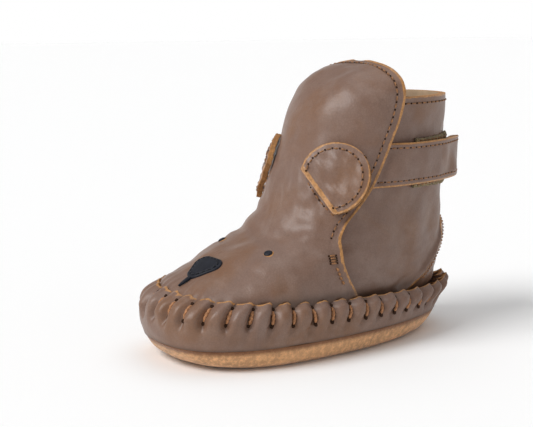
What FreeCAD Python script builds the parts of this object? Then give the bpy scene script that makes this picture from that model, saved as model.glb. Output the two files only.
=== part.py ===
"""Baby bootie, left foot: a soft leather ankle boot with an animal face.

A puckered sidewall is hand stitched to the upper. The front of the upper runs up into a tongue
flap that folds forward over the instep, and a strap on the flap closes round the outer side with
hook and loop tape. Two doubled leather ears are hinged along their sewn straight edges.

Millimetres. +Z up, toe towards -Y, the wearer's left (outer) side towards +X, and the origin on
the ground in the middle of the sole.
"""
import FreeCAD, Part
import math
import os
from FreeCAD import Matrix, Placement, Rotation, Vector

doc = FreeCAD.newDocument("BabyBootie")

# ---------------------------------------------------------------- driving dimensions
SIZES = [
    ("foot_length", 116.4, "toe to heel over the sidewall"),
    ("foot_width", 59.6, "widest place of the sidewall"),
    ("boot_height", 92.2, "ground to the top of the tongue flap"),
    ("quarter_top", 81.0, "ground to the top edge of the quarter"),
    ("sole_edge", 7.0, "height where the outsole meets the sidewall"),
    ("outsole_floor", 2.6, "thickness of the outsole under the foot"),
    ("outsole_wall", 2.2, "thickness of the outsole's turned-up edge"),
    ("midsole_top", 7.4, "top of the foam midsole"),
    ("insole_thick", 1.8, "leather insole"),
    ("insole_gap", 0.3, "room between the insole or midsole and the wall round it"),
    ("sidewall_leather", 1.5, "leather of the puckered sidewall"),
    ("upper_bottom", 12.0, "height of the hidden lower edge of the upper"),
    ("upper_leather", 1.4, "leather of the vamp, flap and quarter"),
    ("lining_leather", 1.0, "lining leather"),
    ("flap_gap", 0.45, "room between the flap's lining and the quarter under it"),
    ("overlap", 7.0, "how far the vamp and flap cover the front edge of the quarter"),
    ("fold_slit", 0.4, "slit along the fold of the flap"),
    ("fold_front", -16.3, "fold line of the flap, front to back"),
    ("fold_height", 42.0, "fold line of the flap above the ground"),
    ("fold_slope", 37.5, "degrees that the fold plane falls to the back"),
    ("gusset_top", 40.0, "top of the heel gusset"),
    ("gusset_half", 22.5, "half width of the heel gusset at the rim"),
    ("strap_bottom", 52.4, "lower edge of the strap"),
    ("strap_width", 14.0, "strap, edge to edge"),
    ("strap_leather", 1.1, "outer leather of the strap"),
    ("strap_lining_leather", 0.9, "lining of the strap"),
    ("strap_corner", 3.0, "corner radius of the strap's free end"),
    ("strap_tip", 36.0, "free end of the strap along its own direction"),
    ("strap_root_reach", 1.0, "sewn root of the strap behind the flap's edge at its upper corner"),
    ("strap_root_gap", 0.4, "room between the sewn root and the strap that swings"),
    ("tape_thick", 1.0, "hook tape and loop pad"),
    ("tape_gap", 0.3, "hook tape off the loop pad"),
    ("tape_start", 6.5, "front end of the tapes along the strap's direction"),
    ("ear_chord", 18.6, "straight sewn edge of the ear"),
    ("ear_reach", 18.6, "ear from its straight edge to its far end"),
    ("ear_leather", 0.9, "each of the ear's two leathers"),
    ("ear_bend", 60.0, "radius that the ear is curved to"),
    ("ear_tilt", 8.0, "degrees that the ear leans away from the flap"),
    ("ear_gap", 0.4, "ear off the flap under it"),
    ("ear_inner_x", 8.6, "inner end of the ear's sewn edge"),
    ("ear_inner_z", 57.6, "height of that end"),
    ("ear_outer_x", 20.8, "outer end of the ear's sewn edge"),
    ("ear_outer_z", 44.6, "height of that end"),
    ("eye_x", 14.0, "eye to the middle of the face"),
    ("eye_z", 33.4, "height of the eye"),
    ("eye_radius", 1.5, "leather plug of the eye"),
    ("eye_proud", 0.5, "eye plug out of the vamp"),
    ("nose_y", -40.6, "middle of the nose patch"),
    ("nose_width", 13.0, "nose patch"),
    ("nose_length", 10.0, "nose patch"),
    ("nose_thick", 0.9, "nose patch and mouth strip"),
    ("mouth_width", 1.8, "mouth strip"),
    ("mouth_length", 4.6, "mouth strip"),
    ("tack_size", 3.0, "bar tack at the foot of the flap's free edge"),
    ("tack_thick", 0.5, "bar tack"),
    ("thread", 0.6, "sewing thread"),
    ("stitch_pitch", 4.2, "sewing stitch to stitch"),
    ("seam_margin", 3.0, "stitch row to the raw edge"),
    ("cord_thread", 1.2, "thick thread of the hand stitches"),
    ("hand_stitch", 4.6, "height of a hand stitch"),
    ("hand_stitch_count", 40, "hand stitches round the rim"),
]
sheet = doc.addObject("Spreadsheet::Sheet", "Sizes")
for row, (alias, value, meaning) in enumerate(SIZES, start=1):
    sheet.set("A%d" % row, alias)
    sheet.set("B%d" % row, str(value))
    sheet.set("C%d" % row, meaning)
    sheet.setAlias("B%d" % row, alias)
doc.recompute()


def size(alias):
    return float(getattr(sheet, alias))


# ---------------------------------------------------------------- the last: forms of the foot
# Sizes that the stations below were drawn at. Other sizes stretch the stations.
DRAWN_LENGTH, DRAWN_WIDTH, DRAWN_HEIGHT, DRAWN_EDGE = 116.4, 59.6, 92.2, 7.0
RIM_LINE = 22.0
BACK_ROUNDNESS = 2.2
# height, front, back, half width, place of the widest section, roundness of the front half
UPPER = [
    (6.0, -49.0, 46.0, 25.0, -12.0, 2.6),
    (10.0, -51.0, 49.5, 25.8, -12.0, 2.6),
    (14.0, -52.4, 52.4, 26.4, -12.0, 2.6),
    (18.0, -51.8, 54.3, 26.8, -11.5, 2.6),
    (22.0, -48.8, 55.2, 27.0, -10.0, 2.6),
    (25.0, -45.0, 55.6, 26.8, -8.0, 2.5),
    (28.0, -40.4, 55.9, 26.5, -4.0, 2.4),
    (31.0, -35.0, 56.1, 26.1, -1.0, 2.3),
    (33.5, -28.5, 56.2, 25.7, 2.0, 2.2),
    (37.0, -20.6, 56.3, 25.2, 5.0, 2.2),
    (42.0, -15.8, 56.4, 24.5, 9.0, 2.2),
    (48.0, -12.5, 56.6, 23.9, 12.0, 2.2),
    (57.0, -8.8, 56.7, 23.6, 16.0, 2.2),
    (67.0, -5.0, 56.7, 23.7, 19.0, 2.2),
    (76.0, -1.8, 56.7, 24.1, 22.0, 2.2),
    (82.0, 2.0, 56.7, 24.0, 23.5, 2.2),
    (86.0, 6.2, 56.5, 22.3, 24.0, 2.2),
    (89.0, 11.2, 55.0, 18.4, 24.0, 2.2),
    (91.0, 16.4, 50.0, 12.6, 24.0, 2.2),
    (92.2, 21.6, 42.0, 5.0, 24.0, 2.2),
]
SIDEWALL = [
    (7.0, -57.0, 50.5, 29.0, -14.0, 2.6),
    (10.0, -57.9, 52.2, 29.6, -14.0, 2.6),
    (13.0, -58.2, 54.0, 29.8, -14.0, 2.6),
    (16.0, -57.7, 55.8, 29.5, -13.5, 2.6),
    (19.0, -55.4, 57.2, 28.9, -13.0, 2.6),
    (21.0, -52.6, 58.0, 28.6, -12.0, 2.6),
    (23.0, -49.4, 58.4, 28.5, -10.0, 2.6),
    (25.0, -46.6, 58.6, 28.5, -9.0, 2.6),
]
OUTSOLE = [
    (0.0, -46.5, 43.0, 24.8, -14.0, 2.6),
    (1.4, -51.6, 45.8, 26.9, -14.0, 2.6),
    (3.8, -55.0, 48.3, 28.0, -14.0, 2.6),
    (7.0, -57.0, 50.5, 29.0, -14.0, 2.6),
]


def tall(height):
    """Height of an upper station at the chosen boot height."""
    if height <= RIM_LINE:
        return height
    stretch = (size("boot_height") - RIM_LINE) / (DRAWN_HEIGHT - RIM_LINE)
    return RIM_LINE + (height - RIM_LINE) * stretch


def low(height):
    """Height of an outsole station at the chosen edge height."""
    return height * size("sole_edge") / DRAWN_EDGE


def stations(table, rise):
    along = size("foot_length") / DRAWN_LENGTH
    across = size("foot_width") / DRAWN_WIDTH
    return [(rise(z), f * along, b * along, w * across, m * along, n) for z, f, b, w, m, n in table]


def smooth(xs, ys, x):
    """Monotone cubic through the stations."""
    count = len(xs)
    steps = [(ys[i + 1] - ys[i]) / (xs[i + 1] - xs[i]) for i in range(count - 1)]
    slopes = [steps[0]]
    for before, after in zip(steps, steps[1:]):
        slopes.append(0.0 if before * after <= 0 else 2 * before * after / (before + after))
    slopes.append(steps[-1])
    if x <= xs[0]:
        return ys[0] + slopes[0] * (x - xs[0])
    if x >= xs[-1]:
        return ys[-1] + slopes[-1] * (x - xs[-1])
    i = max(k for k in range(count - 1) if xs[k] <= x)
    span = xs[i + 1] - xs[i]
    u = (x - xs[i]) / span
    rise = (2 * u ** 3 - 3 * u ** 2 + 1) * ys[i] + (3 * u ** 2 - 2 * u ** 3) * ys[i + 1]
    return rise + span * ((u ** 3 - 2 * u ** 2 + u) * slopes[i] + (u ** 3 - u ** 2) * slopes[i + 1])


class Form:
    """A rounded form given by stations, and the same form shrunk by any depth."""

    FINE = 160

    def __init__(self, rows):
        self.columns = list(zip(*rows))
        self.low, self.high = self.columns[0][0], self.columns[0][-1]
        self.lines = {}

    def column(self, number, z):
        return smooth(self.columns[0], self.columns[number], z)

    def line(self, number, inward, depth):
        """Outline number 1, 2 or 3 moved by depth at right angles to itself, as (z, value)."""
        key = (number, round(depth, 4))
        if key not in self.lines:
            step = (self.high - self.low) / self.FINE
            moved = []
            for k in range(self.FINE + 1):
                z = self.low + k * step
                value = self.column(number, z)
                slope = (self.column(number, z + step / 4) - self.column(number, z - step / 4)) / (step / 2)
                length = math.hypot(1, slope)
                moved.append((z - inward * depth * slope / length, value + inward * depth / length))
            self.lines[key] = sorted(moved)
        return self.lines[key]

    def reach(self, number, inward, depth, z):
        points = self.line(number, inward, depth)
        if z <= points[0][0]:
            first, second = points[0], points[1]
        elif z >= points[-1][0]:
            first, second = points[-2], points[-1]
        else:
            i = max(k for k in range(len(points) - 1) if points[k][0] <= z)
            first, second = points[i], points[i + 1]
        share = (z - first[0]) / max(second[0] - first[0], 1e-9)
        return first[1] + share * (second[1] - first[1])

    def half_section(self, z, depth, behind):
        """Half width, widest place, reach forwards or backwards and roundness at height z."""
        half, widest = self.reach(3, -1, depth, z), self.column(4, z)
        if behind:
            return half, widest, self.reach(2, -1, depth, z) - widest, BACK_ROUNDNESS
        return half, widest, self.reach(1, 1, depth, z) - widest, self.column(5, z)

    def turned(self, turn, z, depth=0.0):
        """Point of the surface at an angle round the section: 0 on the left side, 90 degrees behind."""
        across, along = math.cos(turn), math.sin(turn)
        half, widest, reach, power = self.half_section(z, depth, along > 0)
        x = half * math.copysign(abs(across) ** (2 / power), across)
        return Vector(x, widest + reach * abs(along) ** (2 / power), z)

    def ring(self, z, depth=0.0, seam=0.25, count=26):
        turns = [2 * math.pi * ((k + 0.5) / count + seam) for k in range(count)]
        points = [self.turned(turn, z, depth) for turn in turns]
        curve = Part.BSplineCurve()
        curve.interpolate(Points=points, PeriodicFlag=True)
        return Part.Wire(curve.toShape())

    def solid(self, heights, depth=0.0, seam=0.25):
        return Part.makeLoft([self.ring(z, depth, seam) for z in heights], True, False)

    def point(self, y, z, side, depth=0.0):
        """Point of the surface at y and z, on the side +1 or -1."""
        half, widest, reach, power = self.half_section(z, depth, y > self.column(4, z))
        share = max(0.0, 1 - abs((y - widest) / reach) ** power)
        return Vector(side * half * share ** (1 / power), y, z)

    def face_point(self, x, z, depth=0.0, behind=False):
        """Point of the front or back half of the surface at x and z."""
        half, widest, reach, power = self.half_section(z, depth, behind)
        share = max(0.0, 1 - abs(x / half) ** power)
        return Vector(x, widest + reach * share ** (1 / power), z)

    def front_point(self, x, z, depth=0.0):
        return self.face_point(x, z, depth)

    def back_point(self, x, z, depth=0.0):
        return self.face_point(x, z, depth, behind=True)

    def normal(self, place, nudge=0.4):
        """Outward direction at a point of the front half."""
        beside = self.front_point(place.x + nudge, place.z) - self.front_point(place.x - nudge, place.z)
        above = self.front_point(place.x, place.z + nudge) - self.front_point(place.x, place.z - nudge)
        return beside.cross(above).normalize()


upper = Form(stations(UPPER, tall))
sidewall = Form(stations(SIDEWALL, lambda z: z + size("sole_edge") - DRAWN_EDGE))
outsole = Form(stations(OUTSOLE, low))


def spread(low_end, high_end, step):
    count = max(2, round((high_end - low_end) / step))
    return [low_end + (high_end - low_end) * k / count for k in range(count + 1)]


# ---------------------------------------------------------------- document helpers
def shape_object(name, shape):
    feature = doc.addObject("Part::Feature", name)
    feature.Shape = shape
    return feature


def bound(kind, name, expressions, placement=None):
    """A Part primitive whose sizes are bound to the sheet."""
    feature = doc.addObject(kind, name)
    for prop, expression in expressions.items():
        feature.setExpression(prop, expression)
    if placement:
        feature.Placement = placement
    return feature


def boolean(kind, name, base, tool):
    feature = doc.addObject(kind, name)
    feature.Base = base
    feature.Tool = tool
    return feature


def cut(name, base, tool):
    return boolean("Part::Cut", name, base, tool)


def common(name, base, tool):
    return boolean("Part::Common", name, base, tool)


sub_parts = {}


def keep(node, feature):
    """Give a finished sub-part the name of its node."""
    feature.Label = node
    sub_parts[node] = feature
    return feature


# ---------------------------------------------------------------- layers of the upper
# Air left between two pieces that are sewn together
SEWN_GAP = 0.08
LEATHER = size("upper_leather")
LINED = LEATHER + size("lining_leather")
QUARTER_OUT = LINED + size("flap_gap")
QUARTER_IN = QUARTER_OUT + LEATHER
VAMP_LINED = QUARTER_OUT - SEWN_GAP
INNER = QUARTER_IN + size("lining_leather")
LOOP_OUT = QUARTER_OUT - size("tape_thick")
HOOK_IN = LOOP_OUT - size("tape_gap")
HOOK_OUT = HOOK_IN - size("tape_thick")
STRAP_MID = HOOK_OUT - size("strap_lining_leather")
STRAP_OUT = STRAP_MID - size("strap_leather")


def upper_solid(depth, seam, below=0.0):
    """The upper's form at a depth, from under its lower edge to just under its own top."""
    bottom = size("upper_bottom") - below
    dome = tall(82.0)
    top = size("boot_height") - depth - 0.02
    heights = spread(bottom, dome, 6.0) + spread(dome, top, 2.2)[1:]
    return upper.solid(heights, depth, seam)


def strap_solid(depth, margin=4.0):
    bottom = size("strap_bottom") - margin
    return upper.solid(spread(bottom, bottom + size("strap_width") + 2 * margin, 4.0), depth, SEAM_BEFORE)


# The forms' own seam lies where their pieces don't reach: behind for the front pieces, and in front
# for the pieces of the back.
SEAM_BEHIND, SEAM_BEFORE = 0.25, 0.75
forms = {depth: shape_object("Form_%d" % i, upper_solid(depth, SEAM_BEHIND, below=i * 0.5))
         for i, depth in enumerate((0.0, LEATHER, LINED, VAMP_LINED))}
back_forms = {depth: shape_object("BackForm_%d" % i, upper_solid(depth, SEAM_BEFORE, below=i * 0.5))
              for i, depth in enumerate((QUARTER_OUT, QUARTER_IN, INNER))}


def layer(name, outer, inner, space):
    """One layer of leather between two forms, inside a space."""
    return cut(name, common(name + "Block", outer, space), inner)


# ---------------------------------------------------------------- side outlines, cut across X
ROOM = 60.0
# Raw rear edge of the vamp and the tongue flap, y and height
EDGE = [
    (1.5, 8.0), (0.6, 18.8), (-2.6, 25.0), (-4.4, 30.8), (-4.2, 36.0), (-1.4, 41.0), (3.7, 46.2),
    (9.2, 52.6), (13.4, 60.0), (16.6, 67.0), (19.6, 74.0), (21.4, 80.0), (22.2, 86.0), (22.4, 96.0),
]
LENGTHWISE = size("foot_length") / DRAWN_LENGTH


def edge_points(shift=0.0):
    return [Vector(0, y * LENGTHWISE + shift, tall(z)) for y, z in EDGE]


def curve_through(points):
    curve = Part.BSplineCurve()
    curve.interpolate(points)
    return curve


def side_space(name, points, away):
    """Everything on one side of a side-view curve, closed at the far line y or z = away."""
    moved = [point - Vector(ROOM, 0, 0) for point in points]
    first, last = moved[0], moved[-1]
    if abs(last.z - first.z) > abs(last.y - first.y):
        corners = [Vector(-ROOM, away, last.z), Vector(-ROOM, away, first.z)]
    else:
        corners = [Vector(-ROOM, last.y, away), Vector(-ROOM, first.y, away)]
    outline = [last] + corners + [first]
    edges = [curve_through(moved).toShape()]
    edges += [Part.LineSegment(a, b).toShape() for a, b in zip(outline, outline[1:])]
    face = Part.Face(Part.Wire(edges))
    return shape_object(name, face.extrude(Vector(2 * ROOM, 0, 0)))


front_space = side_space("FrontSpace", edge_points(), -2 * ROOM)
quarter_space = side_space("QuarterSpace", edge_points(-size("overlap")), 2 * ROOM)


def fold_box(name, up):
    """The half of space above (or below) the fold plane of the flap."""
    lift = size("fold_slit") if not up else 0.0
    placement = Placement(Vector(-ROOM, size("fold_front"), size("fold_height")),
                          Rotation(Vector(1, 0, 0), -size("fold_slope")))
    box = doc.addObject("Part::Box", name)
    box.Length, box.Width, box.Height = 2 * ROOM, 4 * ROOM, 4 * ROOM
    down = 0.0 if up else -4 * ROOM - lift
    box.Placement = placement.multiply(Placement(Vector(0, -2 * ROOM, down), Rotation()))
    return box


above_fold = fold_box("AboveFold", True)
below_fold = fold_box("BelowFold", False)
front_half = layer("FrontHalf", forms[0.0], forms[LEATHER], front_space)
lined_half = layer("LinedHalf", forms[LEATHER], forms[LINED], front_space)
lined_vamp = layer("LinedVamp", forms[LEATHER], forms[VAMP_LINED], front_space)
flap = keep("tongue_flap", common("TongueFlap", front_half, above_fold))
keep("flap_lining", common("FlapLining", lined_half, above_fold))
whole_vamp = common("WholeVamp", front_half, below_fold)
keep("vamp_lining", common("VampLining", lined_vamp, below_fold))

# ---------------------------------------------------------------- eyes, plugs in punched holes
def direct(origin, axis, spin=None):
    """Placement that turns +Z to the axis and, when given, +X towards spin."""
    z_axis = Vector(axis).normalize()
    guide = Vector(spin) if spin else Vector(0, 0, 1).cross(z_axis)
    x_axis = (guide - z_axis * guide.dot(z_axis)).normalize()
    y_axis = z_axis.cross(x_axis)
    frame = Matrix(x_axis.x, y_axis.x, z_axis.x, origin.x,
                   x_axis.y, y_axis.y, z_axis.y, origin.y,
                   x_axis.z, y_axis.z, z_axis.z, origin.z,
                   0, 0, 0, 1)
    return Placement(frame)


SIDES = (("left", 1), ("right", -1))
holes = []
for side_name, side in SIDES:
    seat = upper.front_point(side * size("eye_x"), size("eye_z"))
    out = upper.normal(seat)
    base = seat - out * LEATHER
    radius = {"Radius": "Sizes.eye_radius", "Height": "Sizes.upper_leather + Sizes.eye_proud"}
    eye = bound("Part::Cylinder", "Eye" + side_name, radius, direct(base, out))
    through = {"Radius": "Sizes.eye_radius", "Height": "3 * Sizes.upper_leather"}
    holes.append(bound("Part::Cylinder", "Hole" + side_name, through, direct(seat - out * 2 * LEATHER, out)))
    keep("eye_" + side_name, cut("EyePlug" + side_name, eye, forms[LEATHER]))
vamp = cut("PunchedVamp", cut("VampHole", whole_vamp, holes[0]), holes[1])
keep("vamp", vamp)

# ---------------------------------------------------------------- nose and mouth
NOSE_HIGH = shape_object("NoseForm", upper.solid(spread(14.0, 38.0, 3.0), -size("nose_thick")))
nose_layer = cut("NoseLayer", NOSE_HIGH, forms[0.0])


def rounded_outline(corners, radius):
    """A closed outline with every corner rounded by the same radius, seen from above."""
    count = len(corners)
    edges, ends = [], []
    for i, corner in enumerate(corners):
        before = (corners[i - 1] - corner).normalize()
        after = (corners[(i + 1) % count] - corner).normalize()
        half = before.getAngle(after) / 2
        back = radius / math.tan(half)
        middle = corner + (before + after).normalize() * (radius / math.sin(half) - radius)
        start, stop = corner + before * back, corner + after * back
        edges.append(Part.Arc(start, middle, stop).toShape())
        ends.append((start, stop))
    for i in range(count):
        edges.append(Part.LineSegment(ends[i][1], ends[(i + 1) % count][0]).toShape())
    return Part.Wire(Part.__sortEdges__(edges))


def upright(name, outline, height=50.0):
    return shape_object(name, Part.Face(outline).extrude(Vector(0, 0, height)))


nose_mid = size("nose_y") * LENGTHWISE
half_nose, long_nose = size("nose_width") / 2, size("nose_length")
nose_corners = [Vector(-half_nose, nose_mid + long_nose / 2, 5), Vector(0, nose_mid - long_nose * 0.62, 5),
                Vector(half_nose, nose_mid + long_nose / 2, 5)]
nose_prism = upright("NosePrism", rounded_outline(nose_corners, 1.9))
keep("nose_patch", common("NosePatch", nose_layer, nose_prism))
half_mouth = size("mouth_width") / 2
mouth_top = nose_mid - long_nose * 0.30
mouth_corners = [Vector(-half_mouth, mouth_top, 5), Vector(half_mouth, mouth_top, 5),
                 Vector(half_mouth, mouth_top - size("mouth_length"), 5),
                 Vector(-half_mouth, mouth_top - size("mouth_length"), 5)]
mouth_prism = upright("MouthPrism", rounded_outline(mouth_corners, 0.5))
mouth_whole = common("MouthWhole", nose_layer, mouth_prism)
keep("mouth_strip", cut("MouthStrip", mouth_whole, nose_prism))

# ---------------------------------------------------------------- quarter, its lining, gusset
GUSSET_TOP, GUSSET_FOOT = size("gusset_top"), size("upper_bottom") - 4.0
GUSSET_HALF = size("gusset_half") + 1.0
# Share of the way down from the gusset's top, and share of its half width there
GUSSET_OUTLINE = [(0.0, 0.0), (0.18, 0.36), (0.56, 0.74), (1.0, 1.0)]


def gusset_prism():
    """The gusset's outline seen from behind, drawn through towards the heel."""
    start = 20.0
    drop = GUSSET_TOP - GUSSET_FOOT
    sides = [[Vector(side * GUSSET_HALF * across, start, GUSSET_TOP - drop * down)
              for down, across in GUSSET_OUTLINE] for side in (1, -1)]
    edges = [curve_through(points).toShape() for points in sides]
    edges.append(Part.LineSegment(sides[0][-1], sides[1][-1]).toShape())
    return Part.Face(Part.Wire(Part.__sortEdges__(edges))).extrude(Vector(0, 2 * ROOM, 0))


top_box = bound("Part::Box", "BelowQuarterTop", {"Height": "Sizes.quarter_top"})
top_box.Length, top_box.Width = 2 * ROOM, 4 * ROOM
top_box.Placement = Placement(Vector(-ROOM, -2 * ROOM, 0), Rotation())
back_space = common("BackSpace", quarter_space, top_box)
gusset_space = shape_object("GussetSpace", gusset_prism())
whole_quarter = layer("WholeQuarter", back_forms[QUARTER_OUT], back_forms[QUARTER_IN], back_space)
keep("heel_gusset", common("HeelGusset", whole_quarter, gusset_space))
keep("quarter", cut("Quarter", whole_quarter, gusset_space))
keep("quarter_lining", layer("QuarterLining", back_forms[QUARTER_IN], back_forms[INNER], back_space))

# ---------------------------------------------------------------- sidewall, outsole, fillings
# Rim of the sidewall seen from the side: high at the toe, low at the heel
RIM = [(-70.0, 22.6), (-52.0, 22.2), (-40.0, 21.2), (-20.0, 19.4), (5.0, 18.2), (30.0, 17.2), (70.0, 16.8)]


def rim_height(y):
    return smooth([p * LENGTHWISE for p, _ in RIM], [z for _, z in RIM], y)


rim_space = side_space("RimSpace", [Vector(0, y * LENGTHWISE, z) for y, z in RIM], -5.0)
wall_heights = spread(sidewall.low, sidewall.high, 2.0)
wall_out = shape_object("WallOut", sidewall.solid(wall_heights))
inner_heights = [sidewall.low - 1.0] + wall_heights[1:] + [sidewall.high + 1.0]
wall_in = shape_object("WallIn", sidewall.solid(inner_heights, size("sidewall_leather")))
keep("sidewall", common("Sidewall", cut("WallShell", wall_out, wall_in), rim_space))

sole_heights = [0.0] + spread(low(1.4), outsole.high, 1.4)
sole_out = shape_object("SoleOut", outsole.solid(sole_heights))
dish_heights = [size("outsole_floor"), low(5.0), outsole.high, outsole.high + 1.0]
dish = shape_object("SoleDish", outsole.solid(dish_heights, size("outsole_wall")))
keep("outsole", cut("Outsole", sole_out, dish))


def filling(name, bottom, top):
    """A flat layer inside the sole: inside the dish below the sole's edge, the sidewall above."""
    room = size("insole_gap")
    rings = []
    for z in (bottom, (bottom + top) / 2, top):
        form, wall = (outsole, "outsole_wall") if z < outsole.high else (sidewall, "sidewall_leather")
        rings.append(form.ring(z, size(wall) + room))
    return shape_object(name, Part.makeLoft(rings, True, True))


MIDSOLE_TOP = size("midsole_top")
keep("midsole_foam", filling("MidsoleFoam", size("outsole_floor"), MIDSOLE_TOP))
keep("insole", filling("Insole", MIDSOLE_TOP, MIDSOLE_TOP + size("insole_thick")))

# ---------------------------------------------------------------- strap and its tapes
# The strap is cut across its own direction, 45 degrees round the outer back corner
ALONG = Vector(-1, 1, 0).normalize()
OUTWARD = Vector(1, 1, 0).normalize()
NEAR_SIDE = 8.0


def strap_plate(name, start, stop, bottom, width, corner):
    """A plate with two rounded free corners, drawn through the outer back corner of the boot."""
    origin = OUTWARD * NEAR_SIDE + Vector(0, 0, bottom)
    up = Vector(0, 0, 1)
    at = lambda along, height: origin + ALONG * along + up * height
    bend = corner * (1 - math.sqrt(0.5))
    edges = [
        Part.LineSegment(at(start, 0), at(stop - corner, 0)).toShape(),
        Part.Arc(at(stop - corner, 0), at(stop - bend, bend), at(stop, corner)).toShape(),
        Part.LineSegment(at(stop, corner), at(stop, width - corner)).toShape(),
        Part.Arc(at(stop, width - corner), at(stop - bend, width - bend), at(stop - corner, width)).toShape(),
        Part.LineSegment(at(stop - corner, width), at(start, width)).toShape(),
        Part.LineSegment(at(start, width), at(start, 0)).toShape(),
    ]
    return shape_object(name, Part.Face(Part.Wire(edges)).extrude(OUTWARD * ROOM))


strap_forms = {depth: shape_object("StrapForm_%d" % i, strap_solid(depth, margin=4.0 + 0.5 * i))
               for i, depth in enumerate((STRAP_OUT, STRAP_MID, HOOK_OUT, HOOK_IN, LOOP_OUT))}
behind_edge = side_space("BehindEdge", edge_points(), 2 * ROOM)
edge_curve = curve_through(edge_points())


def edge_samples(count=400):
    first, last = edge_curve.FirstParameter, edge_curve.LastParameter
    return [edge_curve.value(first + k * (last - first) / count) for k in range(count + 1)]


def edge_y(z):
    return min(edge_samples(), key=lambda point: abs(point.z - z)).y


BEND_Y = edge_y(size("strap_bottom") + size("strap_width")) + size("strap_root_reach")
print("strap bends at y %.2f, x %.2f" % (BEND_Y, upper.point(BEND_Y, size("strap_bottom"), 1, STRAP_OUT).x))
strap_far_front = -30.0
strap_cut = strap_plate("StrapPlate", strap_far_front, size("strap_tip"), size("strap_bottom"),
                        size("strap_width"), size("strap_corner"))
bend_place = Placement(Vector(-ROOM, BEND_Y, 0), Rotation())
behind_bend = bound("Part::Box", "BehindBend", {"Height": "Sizes.boot_height"}, bend_place)
behind_bend.Length, behind_bend.Width = 2 * ROOM, 2 * ROOM
before_place = Placement(Vector(-ROOM, BEND_Y - size("strap_root_gap") - 2 * ROOM, 0), Rotation())
before_bend = bound("Part::Box", "BeforeBend", {"Height": "Sizes.boot_height"}, before_place)
before_bend.Length, before_bend.Width = 2 * ROOM, 2 * ROOM
strap_space = common("StrapSpace", strap_cut, behind_bend)
root_space = common("RootSpace", common("RootPlate", strap_cut, behind_edge), before_bend)
tape_inset = 1.6
hook_cut = strap_plate("HookPlate", size("tape_start"), size("strap_tip") - tape_inset,
                       size("strap_bottom") + tape_inset, size("strap_width") - 2 * tape_inset, 0.8)
pad_proud = 1.4
pad_cut = strap_plate("PadPlate", size("tape_start") - 1.0, size("strap_tip") - 4.0,
                      size("strap_bottom") - pad_proud, size("strap_width") + 2 * pad_proud, 0.8)


def strap_layer(node, name, outer, inner, space):
    block = common(name + "Block", strap_forms[outer], space)
    return keep(node, cut(name, block, inner))


strap_layer("strap", "Strap", STRAP_OUT, strap_forms[STRAP_MID], strap_space)
strap_layer("strap_lining", "StrapLining", STRAP_MID, strap_forms[HOOK_OUT], strap_space)
strap_layer("strap_root", "StrapRoot", STRAP_OUT, strap_forms[HOOK_OUT], root_space)
strap_layer("hook_tape", "HookTape", HOOK_OUT, strap_forms[HOOK_IN], hook_cut)
strap_layer("loop_pad", "LoopPad", LOOP_OUT, back_forms[QUARTER_OUT], pad_cut)

# ---------------------------------------------------------------- ears
def ear_frame(side):
    """Origin at the middle of the sewn edge, +X along it, +Y to the ear's far end, +Z outward."""
    inner = upper.front_point(side * size("ear_inner_x"), size("ear_inner_z"))
    outer = upper.front_point(side * size("ear_outer_x"), size("ear_outer_z"))
    along = (outer - inner).normalize()
    middle = (inner + outer) * 0.5
    seat = upper.front_point(middle.x, middle.z)
    out = upper.normal(seat)
    out = (out - along * out.dot(along)).normalize()
    lift = max((seat - middle).dot(out), 0.0) + size("ear_gap")
    lean = Placement(Vector(), Rotation(Vector(1, 0, 0), size("ear_tilt")))
    return direct(middle + out * lift, out, along * side).multiply(lean)


EAR_RADIUS = (size("ear_chord") ** 2 / 4 + size("ear_reach") ** 2) / (2 * size("ear_reach"))
ear_frames = {}
for side_name, side in SIDES:
    frame = ear_frame(side)
    ear_frames[side_name] = frame
    tag = side_name.capitalize()
    disc_at = frame.multiply(Placement(Vector(0, size("ear_reach") - EAR_RADIUS, -15), Rotation()))
    disc = bound("Part::Cylinder", "EarDisc" + tag, {
        "Radius": "(Sizes.ear_chord^2 / 4 + Sizes.ear_reach^2) / (2 * Sizes.ear_reach)"}, disc_at)
    disc.Height = 30
    chord_at = frame.multiply(Placement(Vector(-20, 0, -15), Rotation()))
    chord = bound("Part::Box", "EarChord" + tag, {"Width": "Sizes.ear_reach + 2"}, chord_at)
    chord.Length, chord.Height = 40, 30
    outline = common("EarOutline" + tag, disc, chord)
    bars = []
    for step in range(3):
        axis_at = frame.multiply(Placement(Vector(-20, 0, -size("ear_bend")), Rotation(Vector(0, 1, 0), 90)))
        bar = bound("Part::Cylinder", "EarBend%d%s" % (step, tag), {
            "Radius": "Sizes.ear_bend + %d * Sizes.ear_leather" % step}, axis_at)
        bar.Height = 40
        bars.append(bar)
    for step, face in ((0, "back"), (1, "front")):
        sheet_shell = cut("EarShell%d%s" % (step, tag), bars[step + 1], bars[step])
        keep("ear_%s_%s" % (side_name, face), common("Ear%s%s" % (face, tag), outline, sheet_shell))

# ---------------------------------------------------------------- threads
THREAD = size("thread")


def along_path(points, pitch):
    """Points at even steps along a line of points."""
    lengths = [0.0]
    for a, b in zip(points, points[1:]):
        lengths.append(lengths[-1] + a.distanceToPoint(b))
    count = max(1, round(lengths[-1] / pitch))
    places = []
    for k in range(count + 1):
        goal = lengths[-1] * k / count
        i = min(max(j for j, length in enumerate(lengths) if length <= goal + 1e-9), len(points) - 2)
        share = (goal - lengths[i]) / (lengths[i + 1] - lengths[i])
        places.append(points[i] + (points[i + 1] - points[i]) * share)
    return places


def bar(a, b, diameter):
    return Part.makeCylinder(diameter / 2, a.distanceToPoint(b), a, b - a)


def stitches(points, pitch=None, share=0.62, diameter=None):
    """One short bar of thread in each step of a line of points."""
    places = along_path(points, pitch or size("stitch_pitch"))
    bars = []
    for a, b in zip(places, places[1:]):
        inset = (b - a) * (0.5 - share / 2)
        bars.append(bar(a + inset, b - inset, diameter or THREAD))
    return bars


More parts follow.
